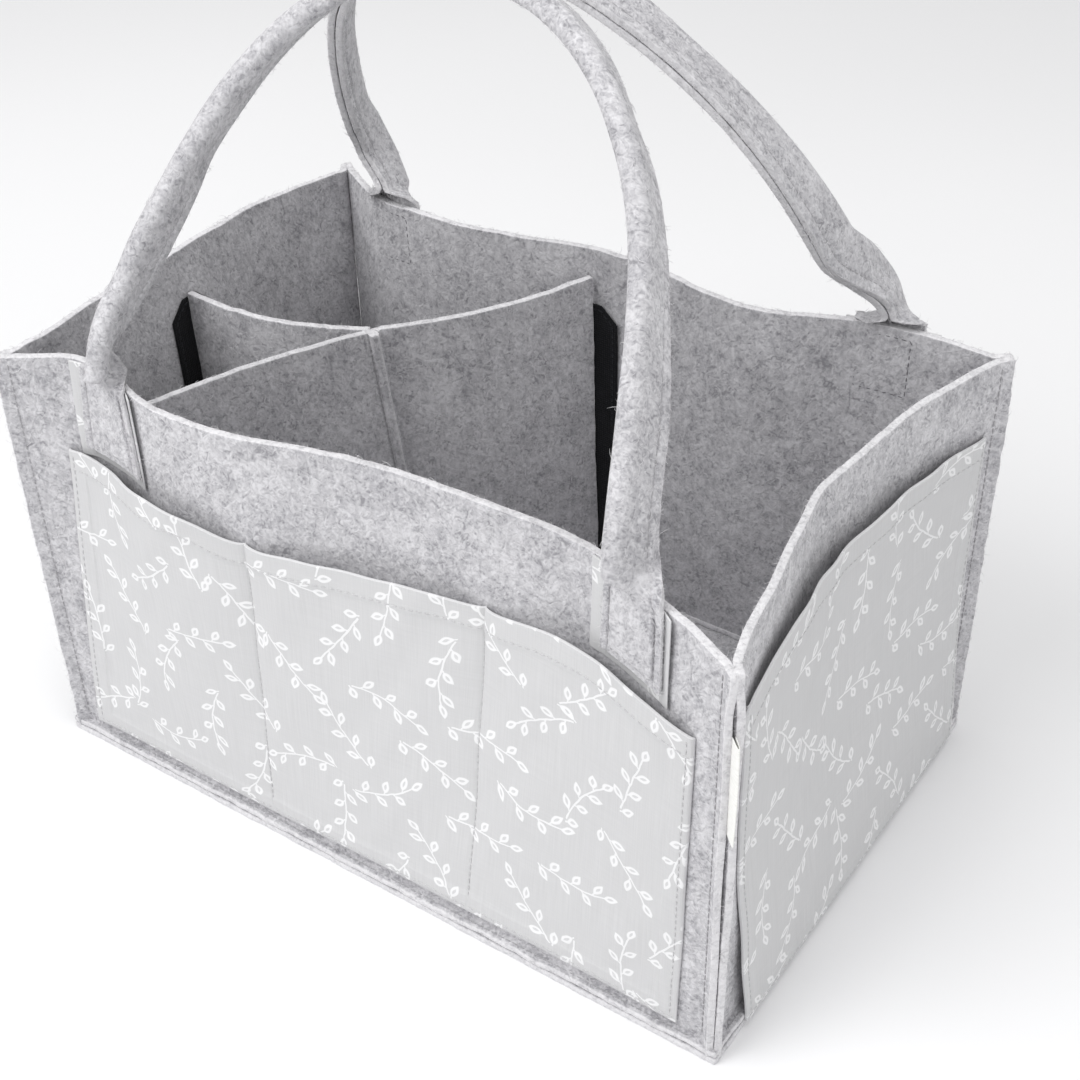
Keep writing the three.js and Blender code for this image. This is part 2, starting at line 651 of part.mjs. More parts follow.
for (const key of ['left', 'right']) {
  const side = sides[key];
  const options = {
    insets: endPocketInsets,
    top: (place) => endPocketTop * throughShares(endPocketTopShares, place),
    bottom: endPocketBottom,
    seams: [],
    fullness: endPocketFullness,
    standOff: overallLength / 2 - outsideLength,
  };
  addPiece(`${sideNames[key]}_pocket`, pocket(side, options), cottonMaterial, side.turn);
}

addPiece('divider_long_leaf', longLeaf(), feltMaterial);
addPiece('divider_short_leaf', shortLeaf(), feltMaterial);
const leafEnds = { left: leftLeafEnd, back: backLeafEnd, front: frontLeafEnd };
for (const [key, place] of Object.entries(leafEnds)) {
  const top = leafTop + leafRises[key] - tapeDrops[key];
  addPiece(`${key}_hook_tape`, hookTape(sides[key], place, top), tapeMaterial);
}
addPiece('care_label', careLabel(), labelMaterial);

export default caddy;
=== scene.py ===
import json
import math
from functools import partial, reduce

import bpy
import numpy as np
from mathutils import Matrix, Vector


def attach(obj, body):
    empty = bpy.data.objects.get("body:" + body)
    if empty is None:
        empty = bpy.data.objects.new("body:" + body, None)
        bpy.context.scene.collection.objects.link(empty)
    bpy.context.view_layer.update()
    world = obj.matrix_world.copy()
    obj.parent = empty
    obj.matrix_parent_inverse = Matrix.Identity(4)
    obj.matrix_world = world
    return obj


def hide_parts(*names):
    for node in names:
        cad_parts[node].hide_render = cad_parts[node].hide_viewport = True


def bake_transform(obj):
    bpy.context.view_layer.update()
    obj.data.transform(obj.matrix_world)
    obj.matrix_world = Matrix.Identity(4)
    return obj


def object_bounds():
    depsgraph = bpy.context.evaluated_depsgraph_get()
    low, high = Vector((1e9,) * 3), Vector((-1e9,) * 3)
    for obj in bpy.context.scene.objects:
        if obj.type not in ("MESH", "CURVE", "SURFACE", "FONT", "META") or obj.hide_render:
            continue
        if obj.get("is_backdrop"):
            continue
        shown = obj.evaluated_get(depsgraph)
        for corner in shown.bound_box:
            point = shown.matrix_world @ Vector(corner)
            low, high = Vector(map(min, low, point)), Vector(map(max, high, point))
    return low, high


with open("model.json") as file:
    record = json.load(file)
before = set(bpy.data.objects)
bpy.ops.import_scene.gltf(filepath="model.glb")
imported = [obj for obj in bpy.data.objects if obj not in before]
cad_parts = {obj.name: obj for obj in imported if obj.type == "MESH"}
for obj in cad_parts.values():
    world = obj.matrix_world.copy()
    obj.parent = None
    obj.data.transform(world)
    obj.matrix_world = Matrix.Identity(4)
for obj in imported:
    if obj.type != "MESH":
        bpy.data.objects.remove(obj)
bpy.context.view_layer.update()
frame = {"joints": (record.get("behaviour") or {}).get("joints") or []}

# A felt diaper caddy with printed cotton pockets. Sizes are in millimetres and colours are linear.
mm = 0.001
rng = np.random.default_rng(7)

box = {
    "length": 340, "width": 224, "felt": 3, "gap": 0.3, "seamAllowance": 7,
    "rims": {"frontLeft": 200, "frontRight": 194, "backRight": 196, "backLeft": 193},
    "leans": {"front": 27, "right": 19.5, "back": 18.5, "left": -10},
    "leanShares": {
        "front": [[-1, 0], [-0.87, 0.48], [-0.73, 0.45], [-0.6, 0.22], [-0.44, 0.17], [-0.27, 0.34],
                  [-0.16, 0.56], [-0.04, 0.77], [0.09, 0.89], [0.25, 0.95], [0.49, 1], [0.6, 0.95],
                  [0.79, 0.55], [0.9, 0.28], [1, 0]],
        "right": [[-1, 0], [-0.87, 0.2], [-0.55, 0.54], [-0.32, 0.78], [-0.08, 1], [0.06, 0.98],
                  [0.18, 0.9], [0.46, 0.77], [0.75, 0.42], [1, 0]],
        "back": [[-1, 0], [-0.79, -0.06], [-0.62, 0.15], [-0.41, 0.85], [-0.23, 0.76], [-0.09, 0.43],
                 [0.11, 0.33], [0.28, 0.64], [0.47, 0.95], [0.68, 1], [0.83, 0.85], [1, 0]],
        "left": [[-1, 0], [-0.76, 0.6], [-0.52, 1], [-0.28, 0.98], [-0.03, 0.8], [0.15, 0.68],
                 [0.49, 0.4], [0.74, 0.1], [1, 0]],
    },
    "leanPower": 1.5,
    "wobble": 0.35,       # soft unevenness of the felt
    "edgeBulge": 0.45,    # how far a cut edge rounds out
    "gape": 0.55,         # how far the corner's two layers stand apart
    "ragged": 0.12,       # unevenness of a cut edge
}
felt, gap = box["felt"], box["gap"]
root2 = math.sqrt(2)
seamReach = (box["seamAllowance"] + felt) / root2
outsideLength = box["length"] / 2 - seamReach + felt
outsideWidth = box["width"] / 2 - seamReach + felt
mitre = gap / root2
wallFoot = felt + gap
flangeTop = wallFoot + felt
seamPress = 0.05  # how far the sewn layers press into each other


# Shapes.

def mix(a, b, t):
    # Straight from a to b.
    return a + (b - a) * t


def smooth(t):
    # An S-curve from 0 to 1: three times the square less twice the cube.
    t = np.clip(t, 0, 1)
    return t * t * (3 - 2 * t)


def bell(x, middle, width):
    # A bell curve: e to the minus square of the distance from the middle over the width.
    return np.exp(-((x - middle) / width) ** 2)


def throughShares(shares, places):
    # Cubic curve through [place, value] pairs. Each slope is the slope between its neighbours.
    at, value = np.array(shares, float).T
    n = len(at)
    before, after = np.r_[0, 0:n - 1], np.r_[1:n, n - 1]
    slope = (value[after] - value[before]) / (at[after] - at[before])
    p = np.clip(places, at[0], at[-1])
    i = np.clip(np.searchsorted(at, p, side="right") - 1, 0, n - 2)
    span = at[i + 1] - at[i]
    t = (p - at[i]) / span
    return (value[i] * (1 + 2 * t) * (1 - t) ** 2 + slope[i] * span * t * (1 - t) ** 2
            + value[i + 1] * t * t * (3 - 2 * t) + slope[i + 1] * span * t * t * (t - 1))


rimHeights = list(box["rims"].values())
walls = {}
for turn, key in enumerate(("front", "right", "back", "left")):
    isLong = turn % 2 == 0
    half, depth = (outsideLength, outsideWidth) if isLong else (outsideWidth, outsideLength)
    walls[key] = {"turn": turn, "half": half, "depth": depth, "crease": half - felt * root2 - mitre,
                  "lean": box["leans"][key], "shares": box["leanShares"][key],
                  "rims": (rimHeights[turn], rimHeights[(turn + 1) % 4]), "facing": 1 if turn < 2 else -1,
                  "cloth": "long" if isLong else "end", "node": key if isLong else f"{key}_end"}


def rimAt(wall, x):
    # The rim's height, straight from one crease to the other.
    return mix(*wall["rims"], np.clip((x / wall["crease"] + 1) / 2, 0, 1))


def shareAt(wall, x, z):
    # The share of the wall's height that lies below a point.
    return (z - wallFoot) / (rimAt(wall, x) - wallFoot)


def heightAt(wall, x, v):
    # The height at a share of the wall's height.
    return mix(wallFoot, rimAt(wall, x), v)


def leanAt(wall, x, z):
    # The rim's lean times a power of the height, and a slow wobble of sines that dies out at the seams
    # and the foot.
    v = np.clip(shareAt(wall, x, z), 0, 1)
    rim = throughShares(wall["shares"], x / wall["crease"])
    k = wall["turn"] * 1.7
    wobble = (np.sin(x / 9.1 + k) * np.sin(z / 12.7 + 2 * k) + 0.7 * np.sin(x / 15.3 + z / 11.9 + 3 * k)
              + 0.5 * np.sin(x / 5.7 - z / 8.3 + k))
    free = np.clip((1 - np.abs(x / wall["crease"])) * 8, 0, 1) * smooth(v * 5)
    return wall["lean"] * rim * (1 - (1 - v) ** box["leanPower"]) + box["wobble"] * wobble * free


def turned(points, turn):
    # Points turned about the upright axis by a number of quarter turns.
    c, s = [(1, 0), (0, 1), (-1, 0), (0, -1)][turn]
    x, y, z = np.moveaxis(points, -1, 0)
    return np.stack([c * x - s * y, s * x + c * y, z], -1)


def wallPoint(wall, x, z, outside=0.0):
    # A point at a distance outside a wall's outer face, in the caddy's own frame.
    x, z, outside = np.broadcast_arrays(np.asarray(x, float), z, outside)
    return turned(np.stack([x, leanAt(wall, x, z) - wall["depth"] - outside, z], -1), wall["turn"])


def steps(low, high, pitch, close=()):
    # Even places from low to high, with extra ones at given distances from each end.
    n = max(int(round((high - low) / pitch)), 1)
    extra = [low + d for d in close] + [high - d for d in close]
    reach = max(close, default=0) + pitch * 0.4
    inner = [p for p in np.linspace(low, high, n + 1)[1:-1] if low + reach < p < high - reach]
    return np.unique(np.round(np.r_[low, extra, inner, high], 6))


def unit(v):
    # Directions with a length of one.
    return v / np.maximum(np.linalg.norm(v, axis=-1, keepdims=True), 1e-9)


def gridFaces(rows, columns, offset=0, flip=False, closed=False):
    # Quads between neighbours on a grid of points, which are numbered row by row.
    r, c = np.meshgrid(np.arange(rows - 1), np.arange(columns if closed else columns - 1), indexing="ij")
    n = (c + 1) % columns
    quads = np.stack([r * columns + c, r * columns + n, (r + 1) * columns + n, (r + 1) * columns + c], -1)
    quads = quads.reshape(-1, 4) + offset
    return quads[:, ::-1] if flip else quads


def outwards(points, quads):
    # The sum of the corners' triple products is the volume, and it is positive when faces point out.
    a, b, c, d = (points[quads[:, i]] for i in range(4))
    volume = np.einsum("ij,ij->", a, np.cross(b, c)) + np.einsum("ij,ij->", a, np.cross(c, d))
    return quads if volume > 0 else quads[:, ::-1]


def shell(outer, inner, bulge=None, rings=5, uv=None, ragged=0.0):
    # A closed sheet between two grids. Round its border the edge goes from the outer face to the inner
    # one on a squarish half circle: half the thickness times a root of the cosine, and the bulge times a
    # root of the sine, along the sheet's own outward direction.
    bulge = box["edgeBulge"] if bulge is None else bulge
    rows, columns = outer.shape[:2]
    middle, half = (outer + inner) / 2, (outer - inner) / 2
    out = np.zeros_like(outer)
    out[0] += unit(middle[0] - middle[1])
    out[-1] += unit(middle[-1] - middle[-2])
    out[:, 0] += unit(middle[:, 0] - middle[:, 1])
    out[:, -1] += unit(middle[:, -1] - middle[:, -2])
    out = unit(out)
    path = np.r_[np.arange(columns - 1), np.arange(rows - 1) * columns + columns - 1,
                 (rows - 1) * columns + np.arange(columns - 1, 0, -1), np.arange(rows - 1, 0, -1) * columns]
    flat = lambda a: a.reshape(-1, a.shape[-1])
    if ragged:
        jag = rng.normal(0, ragged, (len(path), 1))
        jag = flat(out)[path] * (jag + np.roll(jag, 1, 0) * 0.6)
        outer, inner = flat(outer).copy(), flat(inner).copy()
        outer[path] += jag
        inner[path] += jag
        outer, inner = outer.reshape(rows, columns, 3), inner.reshape(rows, columns, 3)
        middle = (outer + inner) / 2
    angles = np.linspace(0, np.pi, rings + 2)[1:-1]
    loops = [flat(middle)[path] + flat(half)[path] * np.sign(np.cos(a)) * abs(np.cos(a)) ** 0.5
             + flat(out)[path] * bulge * np.sin(a) ** 0.5 for a in angles]
    points = np.concatenate([flat(outer), flat(inner), *loops])
    count, n = rows * columns, len(path)
    bands = [path] + [2 * count + i * n + np.arange(n) for i in range(rings)] + [path + count]
    quads = [gridFaces(rows, columns), gridFaces(rows, columns, count, flip=True)]
    for a, b in zip(bands[:-1], bands[1:]):
        quads.append(np.stack([a, b, np.roll(b, -1), np.roll(a, -1)], -1))
    faces = outwards(points, np.concatenate(quads))
    if uv is None:
        uv = middle[..., [0, 2]]
    uvs = np.concatenate([flat(uv), flat(uv)] + [flat(uv)[path]] * rings)
    edge = np.r_[np.zeros(2 * count), np.ones(rings * n)]
    return {"points": points, "faces": faces, "uv": uvs, "edge": edge}


def declare(grids):
    # Works out a sheet's mean width and its middle surface's area, but neither is returned or kept.
    area, widths = 0.0, []
    for outer, inner in grids:
        m = (outer + inner) / 2
        across, along = np.diff(m, axis=1), np.diff(m, axis=0)
        area += np.linalg.norm(np.cross(across[:-1], along[:, :-1]), axis=-1).sum()
        widths.append(np.linalg.norm(across, axis=-1).sum(1).mean())


def joined(parts):
    # Several closed meshes as one.
    start = np.cumsum([0] + [len(p["points"]) for p in parts[:-1]])
    data = {key: np.concatenate([p[key] for p in parts]) for key in ("points", "uv", "edge")}
    return {**data, "faces": np.concatenate([p["faces"] + s for p, s in zip(parts, start)])}


def makePiece(name, data, material):
    # The arrays of points, quads, UV places and edge masks as a mesh object.
    mesh = bpy.data.meshes.new(name)
    points, faces = data["points"] * mm, data["faces"]
    mesh.vertices.add(len(points))
    mesh.vertices.foreach_set("co", points.astype(np.float32).ravel())
    mesh.loops.add(faces.size)
    mesh.loops.foreach_set("vertex_index", faces.astype(np.int32).ravel())
    mesh.polygons.add(len(faces))
    mesh.polygons.foreach_set("loop_start", np.arange(0, faces.size, faces.shape[1], dtype=np.int32))
    mesh.update(calc_edges=True)
    mesh.polygons.foreach_set("use_smooth", np.ones(len(faces), bool))
    uv = (data["uv"][faces.ravel()] * mm).astype(np.float32)
    mesh.uv_layers.new(name="UVMap").data.foreach_set("uv", uv.ravel())
    edge = data["edge"].astype(np.float32)
    mesh.attributes.new("edge", "FLOAT", "POINT").data.foreach_set("value", edge)
    mesh.materials.append(material)
    mesh.validate()
    piece = bpy.data.objects.new(name, mesh)
    bpy.context.scene.collection.objects.link(piece)
    return piece


def onPath(points, spacing, margin=0.0):
    # Evenly spaced places along a path of points, whose further columns are carried along.
    length = np.r_[0, np.cumsum(np.linalg.norm(np.diff(points, axis=0), axis=1))]
    n = max(int((length[-1] - 2 * margin) / spacing), 1)
    at = margin + (np.arange(n) + 0.5) * (length[-1] - 2 * margin) / n
    return np.stack([np.interp(at, length, column) for column in points.T], -1)


def tubes(centres, across, up, radii, sides):
    # Closed tubes through rows of centres. Each ring is a circle of its own radius, and fans close the
    # ends.
    turn = np.linspace(0, 2 * np.pi, sides, endpoint=False)[:, None]
    circle = across[..., None, :] * np.cos(turn) + up[..., None, :] * np.sin(turn)
    points = (centres[..., None, :] + circle * radii[..., None, None]).reshape(-1, 3)
    count, rings = centres.shape[:2]
    fan = np.array([[0, i, i + 1, i + 2] for i in range(1, sides - 2, 2)])
    local = np.concatenate([gridFaces(rings, sides, closed=True), fan[:, ::-1], fan + (rings - 1) * sides])
    faces = (local[None] + (np.arange(count) * rings * sides)[:, None, None]).reshape(-1, 4)
    return {"points": points, "faces": faces, "uv": points[:, [0, 2]], "edge": np.zeros(len(points))}


def throughCorners(corners, count):
    # Straight runs of even points from each corner to the next.
    way = np.linspace(0, 1, count)[:, None]
    return np.concatenate([mix(a, b, way) for a, b in zip(corners[:-1], corners[1:])])


def square(normal, along):
    # The part of a direction that stands square to another.
    return unit(normal - along * (normal * along).sum(-1, keepdims=True))


stitch = {
    "pitch": 3.4, "length": 2.6, "lengths": (0.9, 1.06), "radius": 0.32, "sides": 6,
    "sunk": 0.1, "arch": 0.14,
    "places": [-0.5, -0.38, 0, 0.38, 0.5], "swells": [0.3, 0.85, 1, 0.85, 0.3],
}
stitchSets, fibreSets = {}, {}


def sew(group, path, normals, margin=1.5):
    # Stitches along a path: short bars along it on the surface, swollen in the middle, whose ends dip in
    # by a parabola.
    both = onPath(np.concatenate([path, normals], 1), stitch["pitch"], margin)
    centre, normal = both[:, :3], unit(both[:, 3:])
    along = unit(np.gradient(centre, axis=0))
    normal = square(normal, along)
    t, swell = np.array(stitch["places"]), np.array(stitch["swells"])
    length = stitch["length"] * rng.uniform(*stitch["lengths"], len(centre))
    rise = (1 - (2 * t) ** 2) * stitch["arch"] - stitch["sunk"]
    centres = (centre[:, None] + along[:, None] * t[:, None] * length[:, None, None]
               + normal[:, None] * rise[:, None])
    radii = stitch["radius"] * swell[None]
    made = tubes(centres, np.cross(normal, along)[:, None], normal[:, None], radii, stitch["sides"])
    stitchSets.setdefault(group, []).append(made)


fibre = {
    "radius": 0.07, "radii": (0.7, 1.3), "taper": [0.8, 1, 0.9, 0.4], "sides": 4,
    "short": (1.0, 3.2), "loose": (1.5, 4.5),    # shortest and longest
    "bend": 0.55, "lifts": (0.05, 1), "droop": 0.45,
    "spread": 0.9, "proud": 0.25,    # where roots stand on a cut edge
}


def fuzz(group, roots, normals, lengths, stand):
    # Loose fibres: each leaves its root between flat and upright, bends sideways by its length squared
    # and droops by its cube.
    n = len(roots)
    normals = unit(normals)
    flat = square(rng.normal(size=(n, 3)), normals)
    lift = rng.uniform(*fibre["lifts"], (n, 1)) * stand
    way = unit(flat + normals * lift)
    side = np.cross(normals, flat)
    t = np.linspace(0, 1, len(fibre["taper"]))[:, None]
    length = rng.uniform(*lengths, (n, 1, 1))
    bend = rng.normal(0, fibre["bend"], (n, 1, 1))
    centres = (roots[:, None] + length * (way[:, None] * t + side[:, None] * bend * t ** 2
                                          - normals[:, None] * lift[:, None] * fibre["droop"] * t ** 3))
    along = unit(np.gradient(centres, axis=1))
    up = square(normals[:, None], along)
    radii = fibre["radius"] * np.array(fibre["taper"]) * rng.uniform(*fibre["radii"], (n, 1))
    fibreSets.setdefault(group, []).append(tubes(centres, np.cross(up, along), up, radii, fibre["sides"]))


def scatter(grid, other, count):
    # Random places on a grid's face, and the direction away from the other face there.
    r, c = (rng.uniform(0, size - 1.01, count) for size in grid.shape[:2])
    i, j = r.astype(int), c.astype(int)
    u, v = (r - i)[:, None], (c - j)[:, None]

    def at(g):
        near, far = (g[i, k] * (1 - u) + g[i + 1, k] * u for k in (j, j + 1))
        return near * (1 - v) + far * v

    place = at(grid)
    return place, place - at(other)


def fuzzEdge(group, outer, inner, index, perMm, bare=None):
    # Fibres along one border of a sheet: they point between its outward direction and its faces' ones.
    # None stand nearer than a reach to a bare place, given as an axis, a place on it and that reach.
    line, back = outer[index], inner[index]
    beside = 1 if index == 0 else -2
    middle = (line + back) / 2
    out = middle - (outer[beside] + inner[beside]) / 2
    at = onPath(np.concatenate([middle, unit(out), (line - back) / 2], 1), 1 / perMm)
    if bare:
        axis, place, reach = bare
        at = at[np.abs(at[:, axis] - place) > reach]
    spin = rng.uniform(-1, 1, (len(at), 1))
    roots = at[:, :3] + at[:, 6:] * spin * fibre["spread"] + at[:, 3:6] * fibre["proud"]
    fuzz(group, roots, at[:, 3:6] + unit(at[:, 6:]) * spin, fibre["short"], 1.0)


# Materials.

def newGroup(name, inputs, outputs):
    # A shader group whose inputs are vectors and whose outputs are numbers.
    group = bpy.data.node_groups.new(name, "ShaderNodeTree")
    for way, kind, labels in (("INPUT", "NodeSocketVector", inputs), ("OUTPUT", "NodeSocketFloat", outputs)):
        for label in labels:
            group.interface.new_socket(label, in_out=way, socket_type=kind)
    return group, group.nodes.new("NodeGroupInput").outputs


def node(tree, kind, settings=None, *values, **inputs):
    # A node with its settings, and its inputs in order or by name. An input is a value or another node's
    # output, and None leaves it alone.
    made = tree.nodes.new(kind)
    for key, value in (settings or {}).items():
        setattr(made, key, value)
    for key, value in [*enumerate(values), *inputs.items()]:
        if isinstance(value, bpy.types.NodeSocket):
            tree.links.new(value, made.inputs[key])
        elif value is not None:
            made.inputs[key].default_value = value
    return made


def calc(tree, operation, *values, clamp=False):
    # One sum on values. The one below is the same on vectors.
    return node(tree, "ShaderNodeMath", {"operation": operation, "use_clamp": clamp}, *values).outputs[0]


def vector(tree, operation, *values):
    return node(tree, "ShaderNodeVectorMath", {"operation": operation}, *values).outputs[0]


def mathsFor(tree):
    # Short names for the sums of one tree: plus, minus, times, over, size, under and most.
    kinds = ("ADD", "SUBTRACT", "MULTIPLY", "DIVIDE", "ABSOLUTE", "LESS_THAN", "MAXIMUM")
    return [partial(calc, tree, kind) for kind in kinds]


def weighted(tree, *pairs):
    # The sum of values times their weights.
    plus, _, times, *_ = mathsFor(tree)
    return reduce(plus, [times(value, weight) for value, weight in pairs])


def blendColour(tree, share, colour, tone):
    # The share of a tone over a colour. They are the seventh and eighth inputs.
    made = node(tree, "ShaderNodeMix", {"data_type": "RGBA"}, share, *[None] * 5, colour, (*tone, 1))
    return made.outputs[2]


def noise(tree, place, scale, detail=3.0, rough=0.55, twist=0.0):
    return node(tree, "ShaderNodeTexNoise", None, Vector=place, Scale=scale, Detail=detail, Roughness=rough,
                Distortion=twist).outputs[0]


def ramp(tree, value, stops):
    made = node(tree, "ShaderNodeValToRGB", Fac=value)
    while len(made.color_ramp.elements) < len(stops):
        made.color_ramp.elements.new(0.5)
    for element, (place, colour) in zip(made.color_ramp.elements, stops):
        element.position, element.color = place, (*colour, 1)
    return made.outputs[0]


def grey(r, g=None, b=None):
    # A display colour from 0 to 255 as a linear one.
    rgb = np.array([r, r if g is None else g, r if b is None else b]) / 255
    return tuple(np.where(rgb < 0.04045, rgb / 12.92, ((rgb + 0.055) / 1.055) ** 2.4).round(4).tolist())


def strokes(tree, place, turn, scale, stretch, twist):
    # Noise drawn out along one direction, so that it reads as short curved fibres.
    laid = node(tree, "ShaderNodeMapping", {"vector_type": "TEXTURE"}, Vector=place, Rotation=turn,
                Scale=(stretch, 1, 1)).outputs[0]
    return noise(tree, laid, scale, 1.6, 0.5, twist)


def hairs(tree, place, scale, sharp):
    # Thin curling lines: where a slow noise passes its middle value.
    slow = noise(tree, place, scale, 1.2, 0.5, 0.8)
    away = calc(tree, "ABSOLUTE", calc(tree, "SUBTRACT", slow, 0.5))
    return calc(tree, "SUBTRACT", 1.0, calc(tree, "MULTIPLY", away, sharp), clamp=True)

def feltGroup():
    # Needle felt: light fibres over dark ones that cross in three directions, with loose hairs and slow
    # clouds.
    group, given = newGroup("felt fibres", ["Vector"], ["Tone", "Height"])
    place = given["Vector"]
    first = strokes(group, place, (0.2, 0.5, 0.7), 400, 3.2, 1.2)
    second = strokes(group, place, (0.9, -0.7, -0.6), 460, 3.0, 1.4)
    third = strokes(group, place, (-0.4, 1.3, 1.9), 370, 3.4, 1.1)
    light = calc(group, "MAXIMUM", first, second)
    dark = calc(group, "MINIMUM", second, third)
    cloud = noise(group, place, 75, 3, 0.62, 0.6)
    fine = noise(group, place, 1300, 2, 0.6, 1.0)
    tone = weighted(group, (light, 0.36), (dark, 0.32), (cloud, 0.24), (fine, 0.08),
                    (hairs(group, place, 210, 20), 0.045), (hairs(group, place, 170, 26), -0.05))
    node(group, "NodeGroupOutput", None, Tone=tone, Height=weighted(group, (light, 0.7), (third, 0.3)))
    return group


def weaveGroup():
    # Plain cotton: uneven upright yarns over finer cross ones.
    group, given = newGroup("cotton weave", ["Vector"], ["Tone", "Height"])
    upright = noise(group, vector(group, "MULTIPLY", given["Vector"], (2100, 34, 1)), 1, 3, 0.65)
    across = noise(group, vector(group, "MULTIPLY", given["Vector"], (30, 1500, 1)), 1, 2, 0.6)
    tone = weighted(group, (upright, 0.7), (across, 0.3))
    node(group, "NodeGroupOutput", None, Tone=tone, Height=tone)
    return group


sprig = {
    "cell": 45.0, "half": 14.0, "aside": 2.2, "stem": 0.38, "stemEnd": 1.2, "bend": 0.013,
    "lean": math.radians(50),
    "leafPitch": 10.5, "leafLength": 3.5, "leafWidth": 2.0, "leafFoot": 2.6, "stand": 4.3, "stalkIn": 0.4,
    "tipGap": 0.6, "ink": 0.9, "wander": 1.5, "wanderScale": 160,
    "leafParts": [(1.0, 1.0, 4.0), (0.5, 0.36, 3.0)],    # leaf and hollow: length, width, sharpness
    "hollow": 0.85,
}


def leafMask(tree, a, b):
    # A pointed oval with a hollow middle: across over its width plus the square of along over its length.
    plus, minus, times, over, size, *_ = mathsFor(tree)
    b = size(b)
    masks = []
    for long, wide, sharp in sprig["leafParts"]:
        along = over(a, sprig["leafLength"] * long)
        side = over(b, sprig["leafWidth"] * wide)
        masks.append(times(minus(1.0, plus(times(along, along), side)), sharp, clamp=True))
    return minus(masks[0], times(masks[1], sprig["hollow"]), clamp=True)


def sprigGroup():
    # A printed sprig in each cell of a square grid, turned and bent by the cell's own random numbers.
    # Leaves stand on both sides of the stem in turn, and one ends it.
    group, given = newGroup("sprig print", ["Vector", "Shift"], ["Mask"])
    plus, minus, times, over, size, under, most = mathsFor(group)
    cellSize, half, pitch = sprig["cell"], sprig["half"], sprig["leafPitch"]
    shake = node(group, "ShaderNodeTexNoise", None, Vector=given["Vector"], Scale=sprig["wanderScale"],
                 Detail=1.5).outputs["Color"]
    shake = vector(group, "SUBTRACT", shake, (0.5, 0.5, 0.5))
    shake = vector(group, "MULTIPLY", shake, (sprig["wander"] / cellSize, sprig["wander"] / cellSize, 0))
    place = vector(group, "MULTIPLY", given["Vector"], (1000 / cellSize, 1000 / cellSize, 0))
    place = vector(group, "ADD", vector(group, "ADD", place, given["Shift"]), shake)
    cell = vector(group, "FLOOR", place)
    dice = node(group, "ShaderNodeTexWhiteNoise", {"noise_dimensions": "3D"},
                Vector=vector(group, "ADD", cell, given["Shift"]))
    throws = node(group, "ShaderNodeSeparateColor", None, dice.outputs["Color"]).outputs
    local = vector(group, "SUBTRACT", vector(group, "SUBTRACT", place, cell), (0.5, 0.5, 0))
    local = vector(group, "MULTIPLY", local, (cellSize, cellSize, 0))
    around = node(group, "ShaderNodeVectorRotate", {"rotation_type": "Z_AXIS"}, Vector=local,
                  Angle=times(throws[0], 2 * math.pi))
    x, y, _ = node(group, "ShaderNodeSeparateXYZ", None, around.outputs[0]).outputs
    x = plus(x, sprig["aside"])
    bend = times(minus(throws[1], 0.5), 2 * sprig["bend"])
    y = minus(y, times(bend, times(x, x)))
    away = size(y)
    stem = times(times(under(away, sprig["stem"]), under(size(x), half + sprig["stemEnd"])), sprig["ink"])
    below = under(y, 0.0)
    run = over(plus(plus(x, half), times(below, pitch / 2)), pitch)
    index = calc(group, "FLOOR", run)
    fromFoot = plus(times(minus(minus(run, index), 0.5), pitch), sprig["leafFoot"])
    c, s = math.cos(sprig["lean"]), math.sin(sprig["lean"])
    a = minus(plus(times(fromFoot, c), times(away, s)), sprig["stand"])
    b = minus(times(away, c), times(fromFoot, s))
    allowed = times(under(-0.5, index), under(index, 2.5))
    leaves = times(leafMask(group, a, b), allowed)
    stalk = times(under(size(b), sprig["stem"] * 0.9),
                  times(under(a, -sprig["leafLength"] + sprig["stalkIn"]), under(-sprig["stand"], a)))
    stalk = times(times(stalk, allowed), sprig["ink"])
    tip = leafMask(group, minus(x, half + sprig["leafLength"] + sprig["tipGap"]), y)
    node(group, "NodeGroupOutput", None, Mask=most(most(leaves, stem), most(tip, stalk)))
    return group


groups = {"felt": feltGroup(), "weave": weaveGroup(), "sprig": sprigGroup()}


def useGroup(tree, name, **inputs):
    return node(tree, "ShaderNodeGroup", {"node_tree": groups[name]}, **inputs).outputs


def edgeMask(tree, share):
    # The mask of cut and folded edges, times a share. On the long leaf it also holds the ridge's painted
    # highlight.
    edge = node(tree, "ShaderNodeAttribute", {"attribute_name": "edge"}).outputs["Fac"]
    return calc(tree, "MULTIPLY", edge, share)


def makeMaterial(name, rough, sheen, space, look):
    # The look gives the colour and, where it has one, the bump's height, strength and depth.
    material = bpy.data.materials.new(name)
    material.use_nodes = True
    tree = material.node_tree
    tree.nodes.clear()
    shader = node(tree, "ShaderNodeBsdfPrincipled", None,
                  **{"Roughness": rough, "Specular IOR Level": 0.2, "Sheen Weight": sheen})
    node(tree, "ShaderNodeOutputMaterial", None, shader.outputs[0])
    colour, *relief = look(tree, node(tree, "ShaderNodeTexCoord").outputs[space])
    tree.links.new(colour, shader.inputs["Base Color"])
    if relief:
        height, strength, depth = relief
        normal = node(tree, "ShaderNodeBump", None, Height=height, Strength=strength, Distance=depth * mm)
        tree.links.new(normal.outputs[0], shader.inputs["Normal"])
    return material


feltTones = {"dark": grey(148, 147, 151), "low": grey(176, 175, 179), "middle": grey(194, 193, 196),
             "light": grey(214, 213, 216), "edge": grey(230, 229, 231)}


